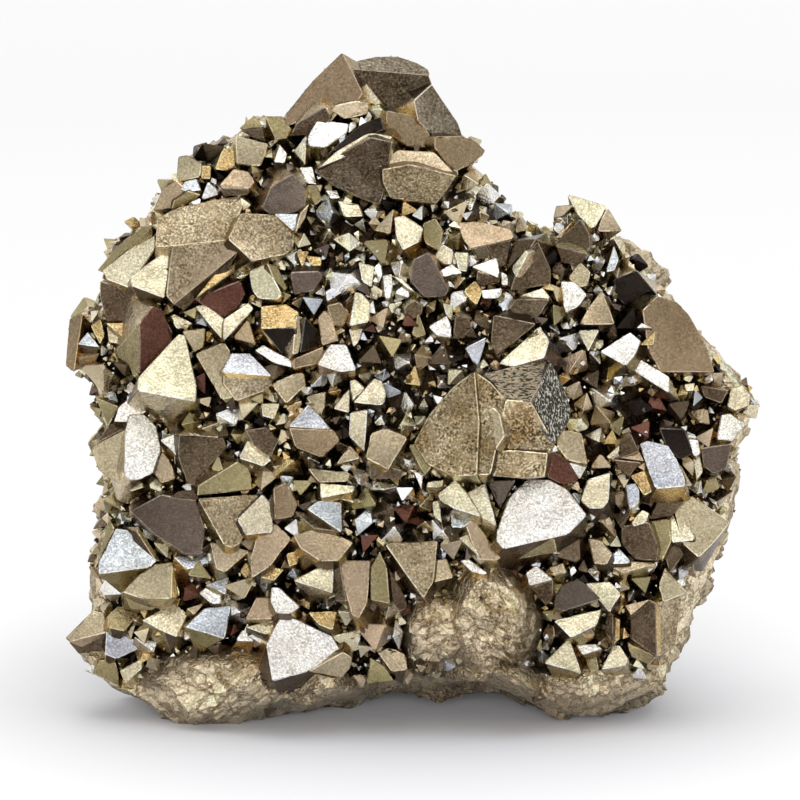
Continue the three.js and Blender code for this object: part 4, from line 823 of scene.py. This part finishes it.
def body():
    spokes = 400
    ring_points = np.array(OUTLINE, float)
    lengths = np.linalg.norm(np.roll(ring_points, -1, 0) - ring_points, axis=1)
    walk = np.concatenate([[0], np.cumsum(lengths)])
    edge = []
    for k in range(spokes):
        d = walk[-1] * k / spokes
        i = min(np.searchsorted(walk, d, side="right") - 1, len(lengths) - 1)
        edge.append(ring_points[i] + (ring_points[(i + 1) % len(lengths)] - ring_points[i]) * (d - walk[i]) / lengths[i])
    fronts = [(s, None) for s in np.linspace(0.02, 1, 70)]
    back_t = np.linspace(0, 1, 130)[1:-1]
    cumulative = [0.0]
    for (s0, d0), (s1, d1) in zip(BACK_RINGS, BACK_RINGS[1:]):
        cumulative.append(cumulative[-1] + math.hypot((s1 - s0) * 50, d1 - d0))
    cumulative = [c / cumulative[-1] for c in cumulative]
    backs = [(interpolate(list(zip(cumulative, [r[0] for r in BACK_RINGS])), t),
              interpolate(list(zip(cumulative, [r[1] for r in BACK_RINGS])), t)) for t in back_t]
    verts, tints, rocks, ringed = [], [], [], []
    for share, back in fronts + backs:
        for x, y in edge:
            behind = back is not None
            narrow = 1 - (1 - share) * LOWER_BACK_SHARE if behind and y < MIDDLE[1] else share
            px, py = MIDDLE[0] + share * (x - MIDDLE[0]), MIDDLE[1] + narrow * (y - MIDDLE[1])
            if behind:
                out = -back
            else:
                m = interpolate(FRONT_RINGS, share)
                out = m * (front_height(px, py) - RECESS) - (1 - m) * RIM_BACK
            p = Vector((px, py, out))
            bare = 1.0 if behind or share > 0.97 else min(1.0, rockiness(px, py) * 2)
            big, small = fbm(p * 0.09, 3) * 1.4, fbm(p * 0.9, 4) * 0.16
            coarse_break, cell_a = fracture(p, 8.5, 0)
            fine_break, cell_b = fracture(p, 2.6, 31)
            direction = Vector((px - MIDDLE[0], py - MIDDLE[1], 0)).normalized() * share ** 3
            direction.z = (1 if not behind else -1) * (1 - share ** 3) + (-0.35 if behind else 0.2)
            direction.normalize()
            amount = min(1.0, 0.3 + back / 14) if behind else 0.3 if share > 0.97 else 1.0
            raised = 0.0 if behind else swelling(px, py) * math.sqrt(max(0.0, min(1.0, (0.99 - share) / 0.06)))
            steep = 2.6 if behind else 1.7
            relief = big * amount + bare * (steep * coarse_break * amount + 0.8 * fine_break * math.sqrt(amount) + small)
            verts.append(p + direction * (relief - 0.5) + Vector((0, 0, raised)))
            ringed.append(0.6 if math.hypot(px - 9, py - 14) < 12 and not behind else 0.35)
            druse = 1.0 if not behind and share < 0.97 else 0.0
            # Painted shade: under the small crystals the body is tinted near-black, less where bare rock shows, to
            # stand for the shade between them.
            gap_shade = druse * max(0.0, 1 - 1.6 * rockiness(px, py))
            lumps = py > 9 and abs(px - 9) < 13
            if behind:
                shade = 0.45 + 0.18 * cell_a + 0.20 * cell_b
            else:
                shade = (1 + 0.30 * cell_a + 0.26 * cell_b) * (0.76 if lumps or px < 0 else 1.0)
            rock = np.array(TONES["rock"]) * min(shade, 1.12)
            tints.append(np.array(TONES["gap"]) * gap_shade + rock * (1 - gap_shade))
            rocks.append(1 - gap_shade)
    n = spokes
    total = len(fronts) + len(backs)
    faces, face_tints, face_grains = [], [], []
    for r in range(total - 1):
        for k in range(n):
            a, b = r * n + k, r * n + (k + 1) % n
            faces.append([a, b, b + n, a + n])
            face_tints.append((tints[a] + tints[b] + tints[a + n] + tints[b + n]) / 4)
            face_grains.append((0.3, 0, 0, ringed[a]))
    faces.append([k for k in range(n)][::-1])
    face_tints.append(tints[0])
    faces.append([(total - 1) * n + k for k in range(n)])
    face_tints.append(tints[-1])
    soup = Soup()
    world = place(np.array([tuple(v) for v in verts]))
    world[:, 2] = np.maximum(world[:, 2], 0)
    # Painted light and shade baked into the tint: flats that look up and to the left are lighter, the others darker.
    for i, f in enumerate(faces[:-2]):  # flats that look up and to the left are brighter
        p0, p1, p2, p3 = (world[j] for j in f)
        flat = np.cross(p2 - p0, p3 - p1)
        flat /= max(np.linalg.norm(flat), 1e-12)
        face_tints[i] = np.clip(face_tints[i] * (1.03 + 0.38 * (0.8 * flat[2] - 0.15 * flat[0])), 0, 0.95)
    soup.add(list(world), faces, face_tints, face_grains + [(0.3, 0, 0, 0.3)] * 2)
    return soup, verts, n, len(fronts), total


body_soup, body_points, spokes, front_rings, rings = body()

# medium and small crystals wrapping round the sides and top, fewer towards the back
flank = Soup()
rng = np.random.default_rng(5)
ROUGH_SIDE = 0.5  # crystals stay small on the grainy right side
want = 760
while want > 0:
    r = front_rings + int((rings - front_rings - 1) * rng.random() ** 1.7)
    p = body_points[r * spokes + rng.integers(spokes)]
    depth = -p.z
    if p.y < 22 + 6 * rng.random() or rng.random() < depth / 34:
        continue
    if p.y > 94 and depth < 14 or p.x > 24 and p.y < 86 and rng.random() < 0.85:
        continue
    side = ROUGH_SIDE if p.x > 30 and p.y < 85 else 1.0
    radius = (0.6 + (2.6 if depth < 14 else 1.4) * rng.random() ** 2.5) * side
    if depth < 9:
        radius = min(radius, 1.4)
    if depth > 16:
        radius *= 0.6 + 1.6 * max(0.0, noise.noise(p * 0.07) * 3)
    small_crystal(flank, coarse, tuple(p), radius, "TTPOOODDGCSM"[rng.integers(12)])
    want -= 1

pieces = [
    body_soup.build("massive_pyrite", ROCK),
    great.build("great_crystals", CRYSTAL, 0.85 * MM, reflection_sweep=0.45),
    druse[0].build("druse_coarse", CRYSTAL, reflection_sweep=0.6),
    druse[1].build("druse_left", CRYSTAL, reflection_sweep=0.6),
    druse[2].build("druse_right", CRYSTAL, reflection_sweep=0.6),
    flank.build("flank_crystals", CRYSTAL, reflection_sweep=0.6),
]
for piece in pieces:
    low = min(v.co.z for v in piece.data.vertices)
    if low < 0:
        for v in piece.data.vertices:
            v.co.z = max(v.co.z, 0)
    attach(piece, "root")
    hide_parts("pyrite_cluster")

# ---- floor, light and camera ---------------------------------------------------------------------------
floor_mat = bpy.data.materials.new("paper")
floor_mat.use_nodes = True
tree = floor_mat.node_tree
paper = tree.nodes["Principled BSDF"]
where, away = tree.nodes.new("ShaderNodeTexCoord"), tree.nodes.new("ShaderNodeVectorMath")
away.operation = "LENGTH"
tree.links.new(where.outputs["Object"], away.inputs[0])
# Painted shadow: the floor is darker within a few centimetres of the part, then pales and fades to white far off.
tone = (0.50, 0.502, 0.524, 1)
for start, end, paler in ((0.03, 0.10, (0.597, 0.597, 0.600, 1)), (0.55, 2.2, (1.0, 1.0, 1.0, 1))):
    share, blend = tree.nodes.new("ShaderNodeMapRange"), tree.nodes.new("ShaderNodeMix")
    share.inputs["From Min"].default_value, share.inputs["From Max"].default_value = start, end
    blend.data_type = "RGBA"
    tree.links.new(away.outputs["Value"], share.inputs["Value"])
    tree.links.new(share.outputs[0], blend.inputs[0])
    if isinstance(tone, tuple):
        blend.inputs[6].default_value = tone
    else:
        tree.links.new(tone, blend.inputs[6])
    blend.inputs[7].default_value = paler
    tone = blend.outputs[2]
tree.links.new(tone, paper.inputs["Base Color"])
paper.inputs["Roughness"].default_value = 0.9
paper.inputs["Specular IOR Level"].default_value = 0.1
bpy.ops.mesh.primitive_plane_add(size=12, location=(0, 0, 0))
floor = bpy.context.object
floor.name = "floor"
floor.data.materials.append(floor_mat)

world = bpy.data.worlds.new("studio")
bpy.context.scene.world = world
world.use_nodes = True
background = world.node_tree.nodes["Background"]
background.inputs["Color"].default_value = (1.0, 1.0, 1.0, 1)
background.inputs["Strength"].default_value = 1.0


def panel(name, location, target, size, colour, power):
    light = bpy.data.lights.new(name, "AREA")
    light.shape, light.size, light.size_y = "RECTANGLE", size[0], size[1]
    light.color, light.energy = colour, power
    obj = bpy.data.objects.new(name, light)
    obj.location = location
    obj.rotation_euler = (Vector(target) - Vector(location)).to_track_quat("-Z", "Y").to_euler()
    bpy.context.scene.collection.objects.link(obj)
    return obj


ceiling = panel("ceiling", (0.1, 0.1, 1.3), (0, 0, 0), (1.4, 1.2), (1.0, 1.0, 1.0), 12)
ceiling.visible_glossy = False
fill = panel("fill", (0.0, -1.5, 0.30), (0, 0, 0), (1.2, 0.5), (1.0, 0.98, 0.97), 32)
fill.visible_glossy = False
panel("overhead", (0.0, -0.35, 0.75), (0, 0, 0.05), (0.7, 0.5), (1.0, 0.99, 0.97), 1.1)

camera_data = bpy.data.cameras.new("camera")
camera = bpy.data.objects.new("camera", camera_data)
bpy.context.scene.collection.objects.link(camera)
DISTANCE = 1.6
aim = place(np.array([-1.92, 52.5, 6.0]))
camera.location = Vector(aim + OUT * DISTANCE)
camera.rotation_euler = Vector(-OUT).to_track_quat("-Z", "Y").to_euler()
camera_data.sensor_width = 36
camera_data.lens = 36 * DISTANCE / 0.128
camera_data.clip_start, camera_data.clip_end = 0.05, 20
bpy.context.scene.camera = camera
bpy.context.scene.view_settings.view_transform = "Standard"
